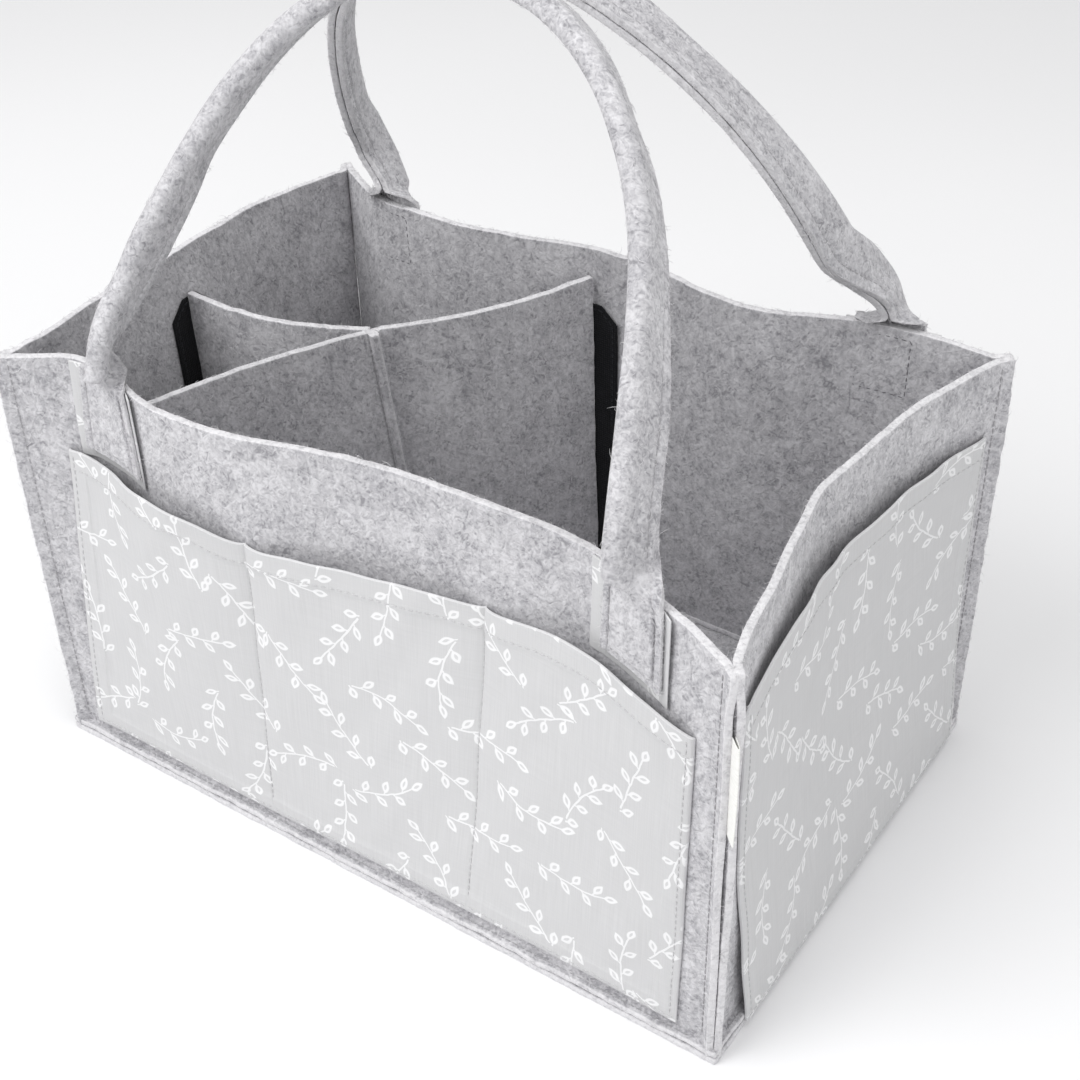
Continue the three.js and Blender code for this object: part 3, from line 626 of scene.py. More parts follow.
def feltLook(tree, place):
    # Tones through the fibres' tone, and cut edges lighter by it.
    fibres = useGroup(tree, "felt", Vector=place)
    colour = ramp(tree, fibres["Tone"], [(0.38, feltTones["dark"]), (0.45, feltTones["low"]),
                                         (0.52, feltTones["middle"]), (0.62, feltTones["light"])])
    edge = edgeMask(tree, calc(tree, "MULTIPLY", fibres["Tone"], 1.25))
    return blendColour(tree, edge, colour, feltTones["edge"]), fibres["Height"], 0.55, 0.9


# The last tone is a painted highlight on the hems' folded edges.
cottonTones = {"ground": grey(208, 208, 209), "shade": grey(200, 200, 201), "print": grey(235, 235, 236),
               "fold": grey(228, 228, 229)}


def cottonLook(tree, place):
    # Two sets of sprigs, each shifted by its own way, on the weave, and the folded edges painted paler as a
    # highlight where they catch the light.
    weave = useGroup(tree, "weave", Vector=place)
    colour = ramp(tree, weave["Tone"], [(0.35, cottonTones["shade"]), (0.65, cottonTones["ground"])])
    masks = [useGroup(tree, "sprig", Vector=place, Shift=shift)[0]
             for shift in ((0.21, 0.37, 0.0), (0.71, 0.87, 5.0))]
    colour = blendColour(tree, calc(tree, "MAXIMUM", *masks), colour, cottonTones["print"])
    return blendColour(tree, edgeMask(tree, 0.5), colour, cottonTones["fold"]), weave["Height"], 0.35, 0.25


def threadLook(tone):
    # A thread's tone and a darker one through a fine twist.
    def look(tree, place):
        twist = noise(tree, place, 1500, 2, 0.5)
        return ramp(tree, twist, [(0.3, tuple(0.8 * c for c in tone)), (0.7, tone)]), twist, 0.5, 0.15
    return look


def tapeLook(tree, place):
    # Hook tape: fine upright hooks on a black ground.
    cells = node(tree, "ShaderNodeTexVoronoi", {"feature": "F1"}, Vector=place, Scale=900,
                 Randomness=0.35).outputs[0]
    tone = weighted(tree, (cells, 0.7), (noise(tree, place, 160, 3, 0.6), 0.5))
    colour = ramp(tree, tone, [(0.25, grey(17, 19, 24)), (0.6, grey(10, 11, 15)), (0.9, grey(5, 6, 9))])
    return colour, calc(tree, "SUBTRACT", 1.0, cells), 0.8, 0.5


def satinLook(tree, place):
    # Fine level threads: noise drawn out along the label.
    threads = noise(tree, vector(tree, "MULTIPLY", place, (300, 300, 2600)), 1, 2, 0.5)
    return ramp(tree, threads, [(0.3, grey(232, 232, 228)), (0.7, grey(246, 246, 243))]), threads, 0.2, 0.15


materials = {
    "felt": makeMaterial("mottled grey felt", 1.0, 0.25, "Object", feltLook),
    "cotton": makeMaterial("printed cotton", 0.9, 0.1, "UV", cottonLook),
    "tape": makeMaterial("black hook tape", 0.75, 0.08, "UV", tapeLook),
    "satin": makeMaterial("white satin tape", 0.45, 0.0, "Object", satinLook),
}
# The stitches on the walls' inner faces take a darker copy of the grey thread, as painted shade.
threadTones = {
    "fibre": ("loose fibre", 226, 225, 227), "feltThread": ("grey thread", 176, 175, 178),
    "shadedThread": ("shaded grey thread", 118, 117, 121), "cottonThread": ("pale thread", 206, 206, 207),
    "tapeThread": ("black thread", 30, 32, 37),
}
for key, (name, *tone) in threadTones.items():
    materials[key] = makeMaterial(name, 0.75, 0.2, "Object", threadLook(grey(*tone)))
print("materials made")


def addPiece(name, data, material, body, nodes=()):
    # A piece that rides on a body, stands for CAD nodes and takes its finish from a slot.
    piece = makePiece(name, data, materials[material])
    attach(piece, body)
    if nodes:
        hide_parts(*nodes)
    return piece


# Felt box.

panel = {
    "pitch": 3.2, "close": (0.8, 1.6, 2.6, 4, 6, 8.5), "flap": 8, "softReach": (4, 3), "sink": 0.05,
    "fuzz": {"rim": 1.6, "border": 0.8, "outside": 700, "inside": 500, "stand": 0.25},
    "bare": {"rim": 18, "face": 42},    # half widths of the bands that are bare of loose fibres
}


def wallGrids(wall):
    # A felt wall's outer and inner faces. Across the wall each is the wall curve, and beyond each crease it
    # runs straight along the corner's diagonal to the seam's tip. Averaging neighbours rounds the crease,
    # and the tips stand apart by the square of the way past the seam. The foot row sinks onto the base.
    crease = wall["crease"]
    diagonal, skew = box["seamAllowance"] / root2, felt / root2
    cornerX, cornerY = wall["half"] - felt + seamPress, -(wall["depth"] - felt)
    x = steps(-crease, crease, panel["pitch"], panel["close"])
    v = np.unique(np.r_[0, 0.004, 0.012, 0.03, np.linspace(0.05, 0.98, 62), 0.993, 0.998, 1])
    flap = np.linspace(0, 1, panel["flap"])[1:]
    gridX, gridV = np.meshgrid(x, v)
    faces = []
    for outside, rounds, startX, reachX, endY in (
            (0, 3, crease, cornerX + diagonal - skew - crease, cornerY - diagonal - skew),
            (-felt, 4, cornerX, diagonal, cornerY - diagonal)):
        z = heightAt(wall, gridX, gridV)
        body = np.stack([gridX * (startX / crease), leanAt(wall, gridX, z) - wall["depth"] - outside, z], -1)
        flaps = []
        for end in (-1, 1):
            fromY = body[:, 0 if end < 0 else -1, 1]
            z = heightAt(wall, end * crease, v)
            wave = 0.6 + 0.4 * np.sin(z / 14 + wall["turn"] * 2 + end)
            opening = box["gape"] * wave * smooth((z - 12) / 60)
            opening = (opening + box["gape"]) * smooth((z[-1] - z - 4) / 14) - box["gape"] * 0.7
            tipX = end * (startX + np.outer(np.ones_like(v), flap) * reachX)
            tipY = fromY[:, None] + flap * (endY - fromY)[:, None]
            push = opening[:, None] * flap ** 2 / root2
            flaps.append(np.stack([tipX - end * push, tipY - push, z[:, None] * np.ones_like(flap)], -1))
        row = np.concatenate([flaps[0][:, ::-1], body, flaps[1]], 1)
        near = np.zeros(row.shape[1] - 2, bool)
        for at in (len(flap), row.shape[1] - 1 - len(flap)):
            near[at - panel["softReach"][0]:at + panel["softReach"][1]] = True
        for _ in range(rounds):
            soft = (row[:, :-2] + 2 * row[:, 1:-1] + row[:, 2:]) / 4
            row[:, 1:-1] = np.where(near[None, :, None], soft, row[:, 1:-1])
        row[0, :, 2] -= gap + panel["sink"]
        faces.append(row)
    across = np.r_[0, np.cumsum(np.linalg.norm(np.diff(faces[0][len(v) // 2], axis=0), axis=1))]
    uv = np.stack(np.broadcast_arrays(across[None, :], faces[0][..., 2]), -1)
    return turned(faces[0], wall["turn"]), turned(faces[1], wall["turn"]), uv


flange = {"edge": 1.0, "wander": 0.3, "sag": (0.35, 0.25), "sagTop": 0.6, "lift": 0.35, "bulge": 1.0}


def flangeGrids(wall):
    # The wall's bottom edge, turned out flat over the base and mitred at the corners. Its edge wanders,
    # its top sags by two sines and its underside lifts by the square of the way out.
    cornerX, cornerY = wall["half"] - felt - gap, -(wall["depth"] - felt)
    s = steps(-1, 1, 0.012, (0.004, 0.01))
    f = np.array([0, 0.25, 0.45, 0.55, 0.7, 0.85, 0.95, 1])
    gridS, gridF = np.meshgrid(s, f)
    x = gridS * (cornerX + gridF * (seamReach - flange["edge"]))
    y = (cornerY - gridF * (seamReach - flange["edge"])
         - flange["wander"] * gridF * np.sin(x / 11 + wall["turn"]) * np.sin(x / 4.3))
    slow, fine = flange["sag"]
    sag = slow * np.sin(x / 13 + wall["turn"]) * gridF + fine * np.sin(x / 5.1) * gridF
    top = np.stack([x, y, np.full_like(x, flangeTop) + sag * flange["sagTop"]], -1)
    lift = flange["lift"] * gridF ** 2 * (1 + 0.6 * np.sin(x / 7.7))
    under = np.stack([x, y, np.full_like(x, wallFoot) + lift], -1)
    return turned(top, wall["turn"]), turned(under, wall["turn"]), np.stack([x, y], -1)


# The bands that are bare of loose fibres: the axis along a wall, and the place on it.
barePlaces = {"front": (0, -123), "back": (0, 20), "left": (1, 1)}
for key, wall in walls.items():
    fuzzes, group = panel["fuzz"], f"{key}Wall"
    outer, inner, uv = wallGrids(wall)
    top, under, flangeUv = flangeGrids(wall)
    data = joined([shell(outer, inner, uv=uv, ragged=box["ragged"]),
                   shell(top, under, flange["bulge"], uv=flangeUv, ragged=box["ragged"])])
    piece = addPiece(f"feltWall_{key}", data, "felt", "caddy", [f"{wall['node']}_panel"])
    declare([(outer, inner), (top, under)])
    axis, place = barePlaces.get(key, (0, math.inf))
    fuzzEdge(group, outer, inner, -1, fuzzes["rim"], (axis, place, panel["bare"]["rim"]))
    fuzzEdge(group, top, under, -1, fuzzes["border"])
    for end in (0, -1):
        fuzzEdge(group, outer.swapaxes(0, 1), inner.swapaxes(0, 1), end, fuzzes["border"])
    fuzz(group, *scatter(outer, inner, fuzzes["outside"]), fibre["loose"], fuzzes["stand"])
    roots, ways = scatter(inner, outer, fuzzes["inside"])
    clear = np.abs(roots[:, axis] - place) > panel["bare"]["face"]
    fuzz(group, roots[clear], ways[clear], fibre["loose"], fuzzes["stand"])

baseEdge = 0.9    # how far the base's cut edge rounds out
baseX, baseY = np.meshgrid(*(steps(-side / 2 + baseEdge, side / 2 - baseEdge, 4, (0.5, 1.5))
                             for side in (box["length"], box["width"])))
baseTop = np.stack([baseX, baseY, np.full_like(baseX, float(felt))], -1)
baseUnder = baseTop * (1, 1, 0)
baseData = shell(baseTop, baseUnder, baseEdge, uv=baseTop[..., :2], ragged=box["ragged"])
base = addPiece("feltBase", baseData, "felt", "caddy", ["base_panel"])
declare([(baseTop, baseUnder)])
print("felt box made")


# Pockets.

pocket = {
    "long": {
        "top": 155, "bottom": flangeTop + gap + 3, "insets": [[6.5, 15], [11, 11]], "seams": [-50, 52],
        "fullness": 7, "standOff": 0.0, "turnedIn": 1,
        "topShares": [[-1, 1.01], [-0.8, 1.02], [-0.6, 1.025], [-0.45, 1.01], [-0.32, 0.972],
                      [-0.15, 0.978], [0, 0.983], [0.18, 0.992], [0.33, 0.988], [0.45, 1.01],
                      [0.58, 1.022], [0.72, 1.02], [0.86, 1], [1, 0.98]]},
    "end": {
        "top": 168, "bottom": 3.5, "insets": [[14, 7], [4.5, 4.5]], "seams": [],
        "fullness": 6, "standOff": box["length"] / 2 - outsideLength, "turnedIn": 4,
        "topShares": [[-1, 0.955], [-0.85, 1.005], [-0.62, 1.03], [-0.38, 1.025], [-0.14, 1.01],
                      [0.08, 1], [0.3, 0.995], [0.65, 0.99], [1, 0.97]]},
    "cloth": 0.75, "hemRise": 0.5, "hemStep": 0.7, "topHem": 10.5, "sideHem": 8, "footHem": 7.5,
    "topStitch": 1.6, "footStitch": 2.2, "sideStitch": 2.4, "stitchOut": 0.05, "seamIn": 0.3,
    "crumple": 0.32, "swell": 1.01,    # swell: the bays' extra width in the flat cloth
    "near": [0, 0.4, 1, 2, 3.5, 5, 6.5, 7.6, 8, 8.4, 9.2, 11], "inner": 13, "pitch": 2.6,
}


def pocketEdges(wall, values):
    # The places of a pocket's sides and seams at its foot, from left to right.
    left, right = (max(inset) for inset in values["insets"])
    return [-wall["crease"] + left, *values["seams"], wall["crease"] - right]


def pocketSurface(wall, values, bay, t, rise, extra):
    # A point on a pocket: between two seams the cloth stands off the wall by a power of the sine of the
    # place across, and more towards the mouth. Slow crumples of three sines fade out at the foot.
    crease = wall["crease"]
    left, right = values["insets"]
    seams = [np.full_like(rise, s) for s in values["seams"]]
    bounds = [-(crease - mix(*left, rise)), *seams, crease - mix(*right, rise)]
    x = mix(bounds[bay], bounds[bay + 1], t)
    foot = shareAt(wall, 0.0, values["bottom"])
    mouth = shareAt(wall, x, values["top"] * throughShares(values["topShares"], x / crease))
    z = heightAt(wall, x, mix(foot, mouth, rise))
    billow = np.sin(np.pi * np.clip(t, 0, 1)) ** 0.6
    out = gap + values["fullness"] * billow * rise ** 0.55 + values["standOff"] * (1 - smooth(rise * 2))
    k = wall["turn"] + bay * 2.3
    crumple = (np.sin(x / 7.3 + rise * 9 + k) * np.sin(rise * 13 + x / 23 + k)
               + 0.6 * np.sin(x / 3.9 - rise * 21 + k))
    out = out + pocket["crumple"] * crumple * billow * smooth(rise * 6)
    return wallPoint(wall, x, z, out + extra), x, z


def pocketShell(wall, values):
    # Two layers over the bays side by side. The outer one steps out by the hems' rise within each hem.
    rise = np.unique(np.r_[0, 0.003, 0.008, 0.016, 0.028, 0.04, 0.047, 0.05, 0.053, 0.06,
                           np.linspace(0.075, 0.9, 50), 0.915, 0.925, 0.93, 0.935, 0.943, 0.96, 0.975, 0.988,
                           0.995, 1])
    edges = pocketEdges(wall, values)
    tall = values["top"] - values["bottom"]

    def hemmed(away, hem):
        return 1 - smooth((away - pocket[hem]) / pocket["hemStep"])

    grids = []
    for layer in (1, 0):
        parts = []
        for bay in range(len(edges) - 1):
            width = edges[bay + 1] - edges[bay]
            near, inner = np.array(pocket["near"]) / width, pocket["inner"] / width
            t = np.unique(np.r_[near, np.linspace(inner, 1 - inner, int(width / pocket["pitch"])), 1 - near])
            isLast = bay == len(edges) - 2
            gridT, gridR = np.meshgrid(t if isLast else t[:-1], rise)
            hem = np.maximum(hemmed((1 - gridR) * tall, "topHem"), hemmed(gridR * tall, "footHem"))
            if bay == 0:
                hem = np.maximum(hem, hemmed(gridT * width, "sideHem"))
            if isLast:
                hem = np.maximum(hem, hemmed((1 - gridT) * width, "sideHem"))
            extra = layer * (pocket["cloth"] + pocket["hemRise"] * hem)
            points, x, z = pocketSurface(wall, values, bay, gridT, gridR, extra)
            parts.append((points, np.stack([x, z], -1)))
        grids.append([np.concatenate(part, 1) for part in zip(*parts)])
    return shell(grids[0][0], grids[1][0], 0.35, 4, uv=grids[0][1])


def outwardOf(points, wall):
    # The wall's plain outward direction at each point of a path.
    return np.broadcast_to(turned(np.array([0.0, -1, 0]), wall["turn"]), points.shape)


def sewPocket(wall, values):
    # In each bay a row under the mouth and one over the foot, then the sides and the seams between bays.
    out = pocket["cloth"] + pocket["hemRise"] + pocket["stitchOut"]
    edges = pocketEdges(wall, values)
    tall = values["top"] - values["bottom"]
    mouth, foot = 1 - (pocket["topHem"] - pocket["topStitch"]) / tall, pocket["footStitch"] / tall
    t, r = np.linspace(0, 1, 60), np.linspace(foot, 1, 50)

    def row(bay, place, rise, out=out, **margin):
        place, rise = np.broadcast_arrays(place, rise)
        path = pocketSurface(wall, values, bay, place, rise, out)[0]
        sew("cotton", path, outwardOf(path, wall), **margin)

    for bay in range(len(edges) - 1):
        side = pocket["sideStitch"] / (edges[bay + 1] - edges[bay])
        row(bay, t, mouth, margin=0.5)
        row(bay, t, foot, margin=0.5)
        if bay == 0:
            row(bay, side, r)
        if bay == len(edges) - 2:
            row(bay, 1 - side, r)
        if bay > 0:
            row(bay, 0.0, r, out - pocket["seamIn"], margin=0.5)


for key, wall in walls.items():
    values = pocket[wall["cloth"]]
    data = pocketShell(wall, values)
    piece = addPiece(f"pocket_{key}", data, "cotton", "caddy", [f"{wall['node']}_pocket"])
    sewPocket(wall, values)
print("pockets made")


# Handles.

patch = {"reach": [-21.5, 17.8], "bottom": 156.5, "cloth": 1.0, "lift": 1.4, "free": 13.5, "hem": 0.35,
         "hemWidth": 4.5, "press": 0.25}
strapOut = gap + patch["cloth"] + gap + felt / 2    # from the wall to the strap's middle

handle = {
    "length": 184, "foot": 28, "bend": 9.2, "turn": math.radians(94), "footBlend": 50, "driftBlend": 30,
    "follow": 3, "seam": 0.395, "seamDeep": 0.7, "seamWide": 0.016, "ripple": 0.4, "press": 0.9,
    "inset": 3, "crowd": 0.09, "tabBottom": 162, "hinge": (-1.5, 16), "fuzz": 1900, "fuzzStand": 0.6,
    "fuzzEdge": 1.2, "rows": 281, "footRows": 60, "twistFade": 8, "flatShare": 0.3, "slopeReach": 5.5,
    "rippleWaves": (2.1, 2.7),
    "front": {
        "feet": [-119, 119], "foots": [-0.676, 0.65], "shoulders": [0.192, 1.257], "crowns": [0.054, 0.95],
        "skew": 0.02, "bow": 0.039, "lean": math.radians(29), "strip": 38.8, "closings": [5, 11],
        "necks": [0.25, 0.1], "spreads": [0.2, 0.06],
        "twists": [[0, 45], [0.012, 45], [0.025, 25.7], [0.045, 11.6], [0.065, 2.8], [0.09, 8.3],
                   [0.115, 17.8], [0.15, 17.4], [0.19, 20], [0.3, 22], [0.5, 8], [0.72, -8],
                   [0.78, -14.6], [0.82, -9.8], [0.86, -6.1], [0.905, 4.2], [0.935, 17.7],
                   [0.955, 19.6], [0.98, 10.8], [1, 15]],
        "drifts": [[0, 3], [0.012, 5.2], [0.025, 5.5], [0.045, 3.9], [0.09, 4.2], [0.115, 3],
                   [0.3, 2.5], [0.5, 0.5], [0.78, 0.8], [0.82, 2.5], [0.86, 3], [0.905, 2.1],
                   [0.955, 1.5], [0.98, 0.2], [1, -3]]},
    "back": {
        "feet": [-125, 116], "foots": [-0.715, 0.648], "shoulders": [0.095, 0.949], "crowns": [0.093, 1.141],
        "skew": -0.06, "bow": -0.02, "lean": math.radians(29.5), "strip": 40.8, "closings": [6, 6],
        "necks": [0.1, 0], "spreads": [0.1, 0.1],
        "twists": [[0, 25.5], [0.05, 21.3], [0.1, 18.5], [0.15, 17.1], [0.2, 13.9], [0.25, 18],
                   [0.5, 0], [0.75, -28.2], [0.8, -25.3], [0.85, -18.9], [0.9, -7.7], [0.95, 0.2],
                   [1, -15.3]],
        "drifts": [[0, -10.3], [0.05, -7.6], [0.1, -5.5], [0.15, -4.2], [0.2, -3.1], [0.5, -2],
                   [0.75, -6], [0.8, -5.1], [0.85, -4.8], [0.9, -5.8], [0.95, -7.5], [1, -8]]},
}


def foldedStrip(across, turn, out):
    # The strip's section: its middle rounds the fold on an arc and its sides run straight on.
    bend = handle["bend"] / 2
    bent = np.minimum(np.abs(across), bend)
    angle = turn * bent / bend
    rest = np.abs(across) - bent
    safe = np.where(angle > 1e-6, angle, 1)
    sideways = np.where(angle > 1e-6, bent * np.sin(safe) / safe, bent) + rest * np.cos(turn)
    deep = np.where(angle > 1e-6, bent * (1 - np.cos(safe)) / safe, 0) + rest * np.sin(turn)
    return np.sign(across) * (sideways + out * np.sin(angle)), deep - out * np.cos(angle)


def archPoints(wall, arch, t):
    # The strap's middle line: a Bezier curve of fifth degree in a leaning plane, drawn to the feet's
    # places on the wall below the blend height. The drift moves it along the wall.
    length = handle["length"]
    low, high = (s * length for s in arch["foots"])
    inX, inH = (s * length for s in arch["shoulders"])
    crownX, crownH = (s * length for s in arch["crowns"])
    middle = (low + high) / 2
    controls = [(low, 0), (low + inX, inH), (middle - crownX, crownH), (middle + crownX, crownH),
                (high - inX, inH), (high, 0)]
    weights = np.stack([b * t ** i * (1 - t) ** (5 - i) for i, b in enumerate((1, 5, 10, 10, 5, 1))], -1)
    x, h = (weights @ np.array(controls, float)).T
    drift = throughShares(arch["drifts"], t) * smooth(h / handle["driftBlend"]) * wall["facing"]
    bow = arch["bow"] * length * (h / length) ** 2
    rims = (box["rims"]["frontLeft"] + box["rims"]["backLeft"]) / 2
    onArch = np.stack([(x + arch["skew"] * h) * wall["facing"] + drift,
                       h * math.sin(arch["lean"]) + bow + handle["inset"] - outsideWidth,
                       rims + h * math.cos(arch["lean"])], -1)
    footX = np.where(t < 0.5, *arch["feet"]) * wall["facing"]
    footZ = rimAt(wall, footX)
    onFoot = np.stack([footX + drift, leanAt(wall, footX, footZ) - wall["depth"] - strapOut,
                       footZ + gap + h], -1)
    return h, mix(onFoot, onArch, smooth(h / handle["footBlend"])[:, None])


def strapGrid(wall, arch, places, out):
    # One face of a strap, at a distance from its middle surface, from one tab's bottom over the arch to
    # the other's. Places are shares of the strip's width. Below the rim the strip follows the wall and
    # stands wider towards its bottom, and above it the fold closes. The section
    # turns about the strap's line above each foot, and a bell curve sinks the seam into the outer face.
    if out > 0:
        out = out - handle["seamDeep"] * bell(np.abs(places), handle["seam"], handle["seamWide"])
    even = np.linspace(0, 1, handle["rows"])
    t = even - np.sin(2 * np.pi * even) * handle["crowd"]
    h, middle = archPoints(wall, arch, t)
    ahead, behind = (archPoints(wall, arch, np.clip(t + d, 0, 1))[1] for d in (0.002, -0.002))
    tangent = unit(ahead - behind)
    tangent[0], tangent[-1] = (0, 0, 1), (0, 0, -1)
    squared = smooth(h / handle["footBlend"])
    reach, rim = handle["slopeReach"], rimAt(wall, middle[:, 0])
    rightOut, leftOut = (leanAt(wall, middle[:, 0] + side, rim) for side in (reach, -reach))
    slope = np.arctan2(rightOut - leftOut, 2 * reach)
    inward = np.stack([-np.sin(slope) * (1 - squared), mix(np.cos(slope), math.cos(arch["lean"]), squared),
                       -math.sin(arch["lean"]) * squared], -1)
    inward = unit(inward - tangent * (inward * tangent).sum(1, keepdims=True))
    along = np.cross(tangent, inward)
    twist = np.radians(throughShares(arch["twists"], t)) * smooth(h / handle["twistFade"])
    c, s = np.cos(twist)[:, None], np.sin(twist)[:, None]
    inward, along = inward * c + along * s, along * c - inward * s
    closed = smooth(h / np.where(t < 0.5, *arch["closings"]))
    neck = 1 - np.where(t < 0.5, *arch["necks"]) * np.sin(np.pi * closed)
    across = places[None] * (mix(handle["foot"], arch["strip"], closed) * neck)[:, None]
    sideways, deep = foldedStrip(across, (handle["turn"] * closed)[:, None], out)
    foldDepth = handle["bend"] / np.pi + (arch["strip"] - handle["bend"]) / 2
    fresh = smooth(h / 4) * (1 - smooth((h - 7) / 10))
    high, wide = handle["rippleWaves"]
    ripple = handle["ripple"] * np.sin(h[:, None] / high + across / wide) * fresh[:, None]
    deep = deep - (closed * foldDepth / 2)[:, None] + ripple
    arc = middle[:, None] + along[:, None] * sideways[..., None] + inward[:, None] * deep[..., None]
    onSide = smooth((np.abs(places) - handle["flatShare"]) / 0.12)
    press = handle["press"] * (np.mean(out) > 0)

    def outside(x, z, pressed):
        # The strap's face over the wall, less the press of the stitches.
        return leanAt(wall, x, z) - wall["depth"] - strapOut - (out - press * pressed)

    grids = []
    for end in (0, 1):
        foot = arch["feet"][end] * wall["facing"]
        direction = np.sign(along[-end, 0])
        x = foot + direction * places * handle["foot"]
        rimX = rimAt(wall, x)
        top = rimAt(wall, foot)
        z = steps(handle["tabBottom"], top - 0.5, 2.2, (0.4, 1.2))
        rise = (z - handle["tabBottom"]) / (top - handle["tabBottom"])
        gridZ = mix(handle["tabBottom"], rimX[None, :], rise[:, None])
        gridX = foot + (x - foot) * (1 + arch["spreads"][end] * (1 - rise))[:, None]
        pressed = np.maximum(onSide[None], 1 - smooth((gridZ - handle["tabBottom"] - 1) / 4))
        flat = np.stack([gridX, outside(gridX, gridZ, pressed), gridZ], -1)
        grids.append(flat if end == 0 else flat[::-1])
        rows = slice(0, handle["footRows"]) if end == 0 else slice(-handle["footRows"], None)
        rise = h[rows]
        shape = arc[rows].shape[:2]
        follow = np.clip(1 - rise / handle["follow"], 0, 1)[:, None, None]
        rimY = outside(x, rimX, onSide)
        onWall = np.stack([np.broadcast_to(x, shape), np.broadcast_to(rimY, shape),
                           rimX[None] + gap + rise[:, None]], -1)
        arc[rows] = mix(arc[rows], onWall, smooth(follow))
    return np.concatenate([grids[0], arc, grids[1]]), len(grids[0])


seamPlaces = handle["seam"] + np.array([-0.03, -0.018, -0.009, 0, 0.009, 0.018, 0.03])
strapPlaces = np.unique(np.r_[-0.5, -0.492, -0.48, -0.46, -seamPlaces, np.linspace(-0.33, 0.33, 20),
                              seamPlaces, 0.46, 0.48, 0.492, 0.5])


def footBox(wall, foot, outside):
    # The box of stitches round a handle's foot.
    side = handle["seam"]
    corners = np.array([[-side, 0], [-side, 1], [side, 1], [side, 0], [-side, 0]])
    shape = throughCorners(corners, 24)
    x = foot * wall["facing"] + shape[:, 0] * handle["foot"]
    z = mix(handle["tabBottom"] + 3, rimAt(wall, x) - 4, shape[:, 1])
    return wallPoint(wall, x, z, outside)


def sewStrap(key, wall, arch):
    # Along the fold's open edges both layers are sewn together, and a box of stitches holds each tab.
    group = f"{key}Handle"
    for side in (-1, 1):
        place = np.array([side * handle["seam"]])
        path, skip = strapGrid(wall, arch, place, felt / 2)
        below, _ = strapGrid(wall, arch, place, -felt / 2)
        path, below = turned(path[:, 0], wall["turn"]), turned(below[:, 0], wall["turn"])
        keep = slice(skip + 5, len(path) - skip - 5)
        sew(group, path[keep], (path - below)[keep])
    for foot in arch["feet"]:
        path = footBox(wall, foot, gap * 2 + patch["cloth"] + felt - handle["seamDeep"] * 0.9)
        sew(group, path, outwardOf(path, wall), margin=0)


bodies = {"front": "handle_front", "back": "handle_back"}
joints = {j["child"]: j for j in frame["joints"]}
blends = {}
for key, body in bodies.items():
    wall, arch, group = walls[key], handle[key], f"{key}Handle"
    outer, inner = (turned(strapGrid(wall, arch, strapPlaces, out)[0], wall["turn"])
                    for out in (felt / 2, -felt / 2))
    data = shell(outer, inner, 0.4, 4, ragged=box["ragged"] * 0.6)
    piece = makePiece(f"strap_{key}", data, materials["felt"])
    declare([(outer, inner)])
    hinge, axis = np.array(joints[body]["pos_m"]), unit(np.array(joints[body]["axis"], float))
    lift = unit(np.array([0, 0, 1.0]) - axis * axis[2])
    blends[key] = [(hinge + lift * reach * mm).tolist() for reach in handle["hinge"]]
    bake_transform(piece)
    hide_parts(f"{key}_handle", f"{key}_handle_tab_left", f"{key}_handle_tab_right")
    sewStrap(key, wall, arch)
    for side in (0, -1):
        fuzzEdge(group, outer.swapaxes(0, 1), inner.swapaxes(0, 1), side, handle["fuzzEdge"])
    fuzz(group, *scatter(outer, inner, handle["fuzz"]), fibre["short"], handle["fuzzStand"])
    for hand, foot in zip(("left", "right"), arch["feet"]):
        low, high = patch["reach"]
        x = foot * wall["facing"] + steps(low, high, 2, (0.4, 1.2))
        gridX, gridS = np.meshgrid(x, steps(0, 1, 0.06, (0.01, 0.03)))
        gridZ = mix(patch["bottom"], rimAt(wall, gridX) - 0.3, gridS)
        fromFoot = gridX - foot * wall["facing"]
        lift = patch["lift"] * smooth((fromFoot - patch["free"]) / 5) * (0.4 + 0.6 * gridS * (2 - gridS))
        hem = patch["hem"] * smooth((low + patch["hemWidth"] - fromFoot) / 0.8)
        outer = wallPoint(wall, gridX, gridZ, gap + (patch["cloth"] + hem - patch["press"] + lift))
        grids = [outer, wallPoint(wall, gridX, gridZ, gap + lift)]
        data = shell(*grids, 0.3, 3, uv=np.stack([gridX, gridZ + 40], -1))
        made = addPiece(f"patch_{key}_{hand}", data, "cotton", "caddy", [f"{key}_handle_patch_{hand}"])
        declare([grids])
print("handles made")


# Divider.

tape = {"width": 25, "thickness": 1.2, "clip": 8, "bottom": 26, "inset": 2.0,
        "drops": {"left": 2, "back": 14, "front": 10}}
divider = {
    "tops": {"front": 177, "seam": 177, "back": 182, "left": 176}, "lift": 20,
    "ends": {"front": -123, "back": 20, "left": 1}, "seamX": -79, "seamY": 15, "seamLean": 18,
    "shortBow": 8, "backBow": 6, "frontBow": 3.5, "ridgeWidth": 3.7, "ridgeReach": 4.0, "ridgeSeam": 0.62,
    # The last two paint a highlight on the ridge: strongly on its crest's right side, weakly over its
    # middle.
    "dent": 1.1, "crest": 0.7, "backCrest": 0.8, "paintedHighlight": 0.75, "pale": 0.2,
    "fuzzEdge": 1.3, "fuzz": 350, "fuzzStand": 0.25,
}


def clearOfWall(wall, place, z, inside):
    # A point inside a wall that stays clear of it through the divider's whole lift.
    here = wallPoint(wall, place, z, -felt - inside)
    lifted = wallPoint(wall, place, np.minimum(z + divider["lift"], rimAt(wall, place)), -felt - inside)
    nearer = np.hypot(here[..., 0], here[..., 1]) < np.hypot(lifted[..., 0], lifted[..., 1])
    point = np.where(nearer[..., None], here, lifted)
    point[..., 2] = z
    return point


def leftOf(way):
    # Level directions a quarter turn to the left of others.
    return np.stack([-way[..., 1], way[..., 0], 0 * way[..., 0]], -1)


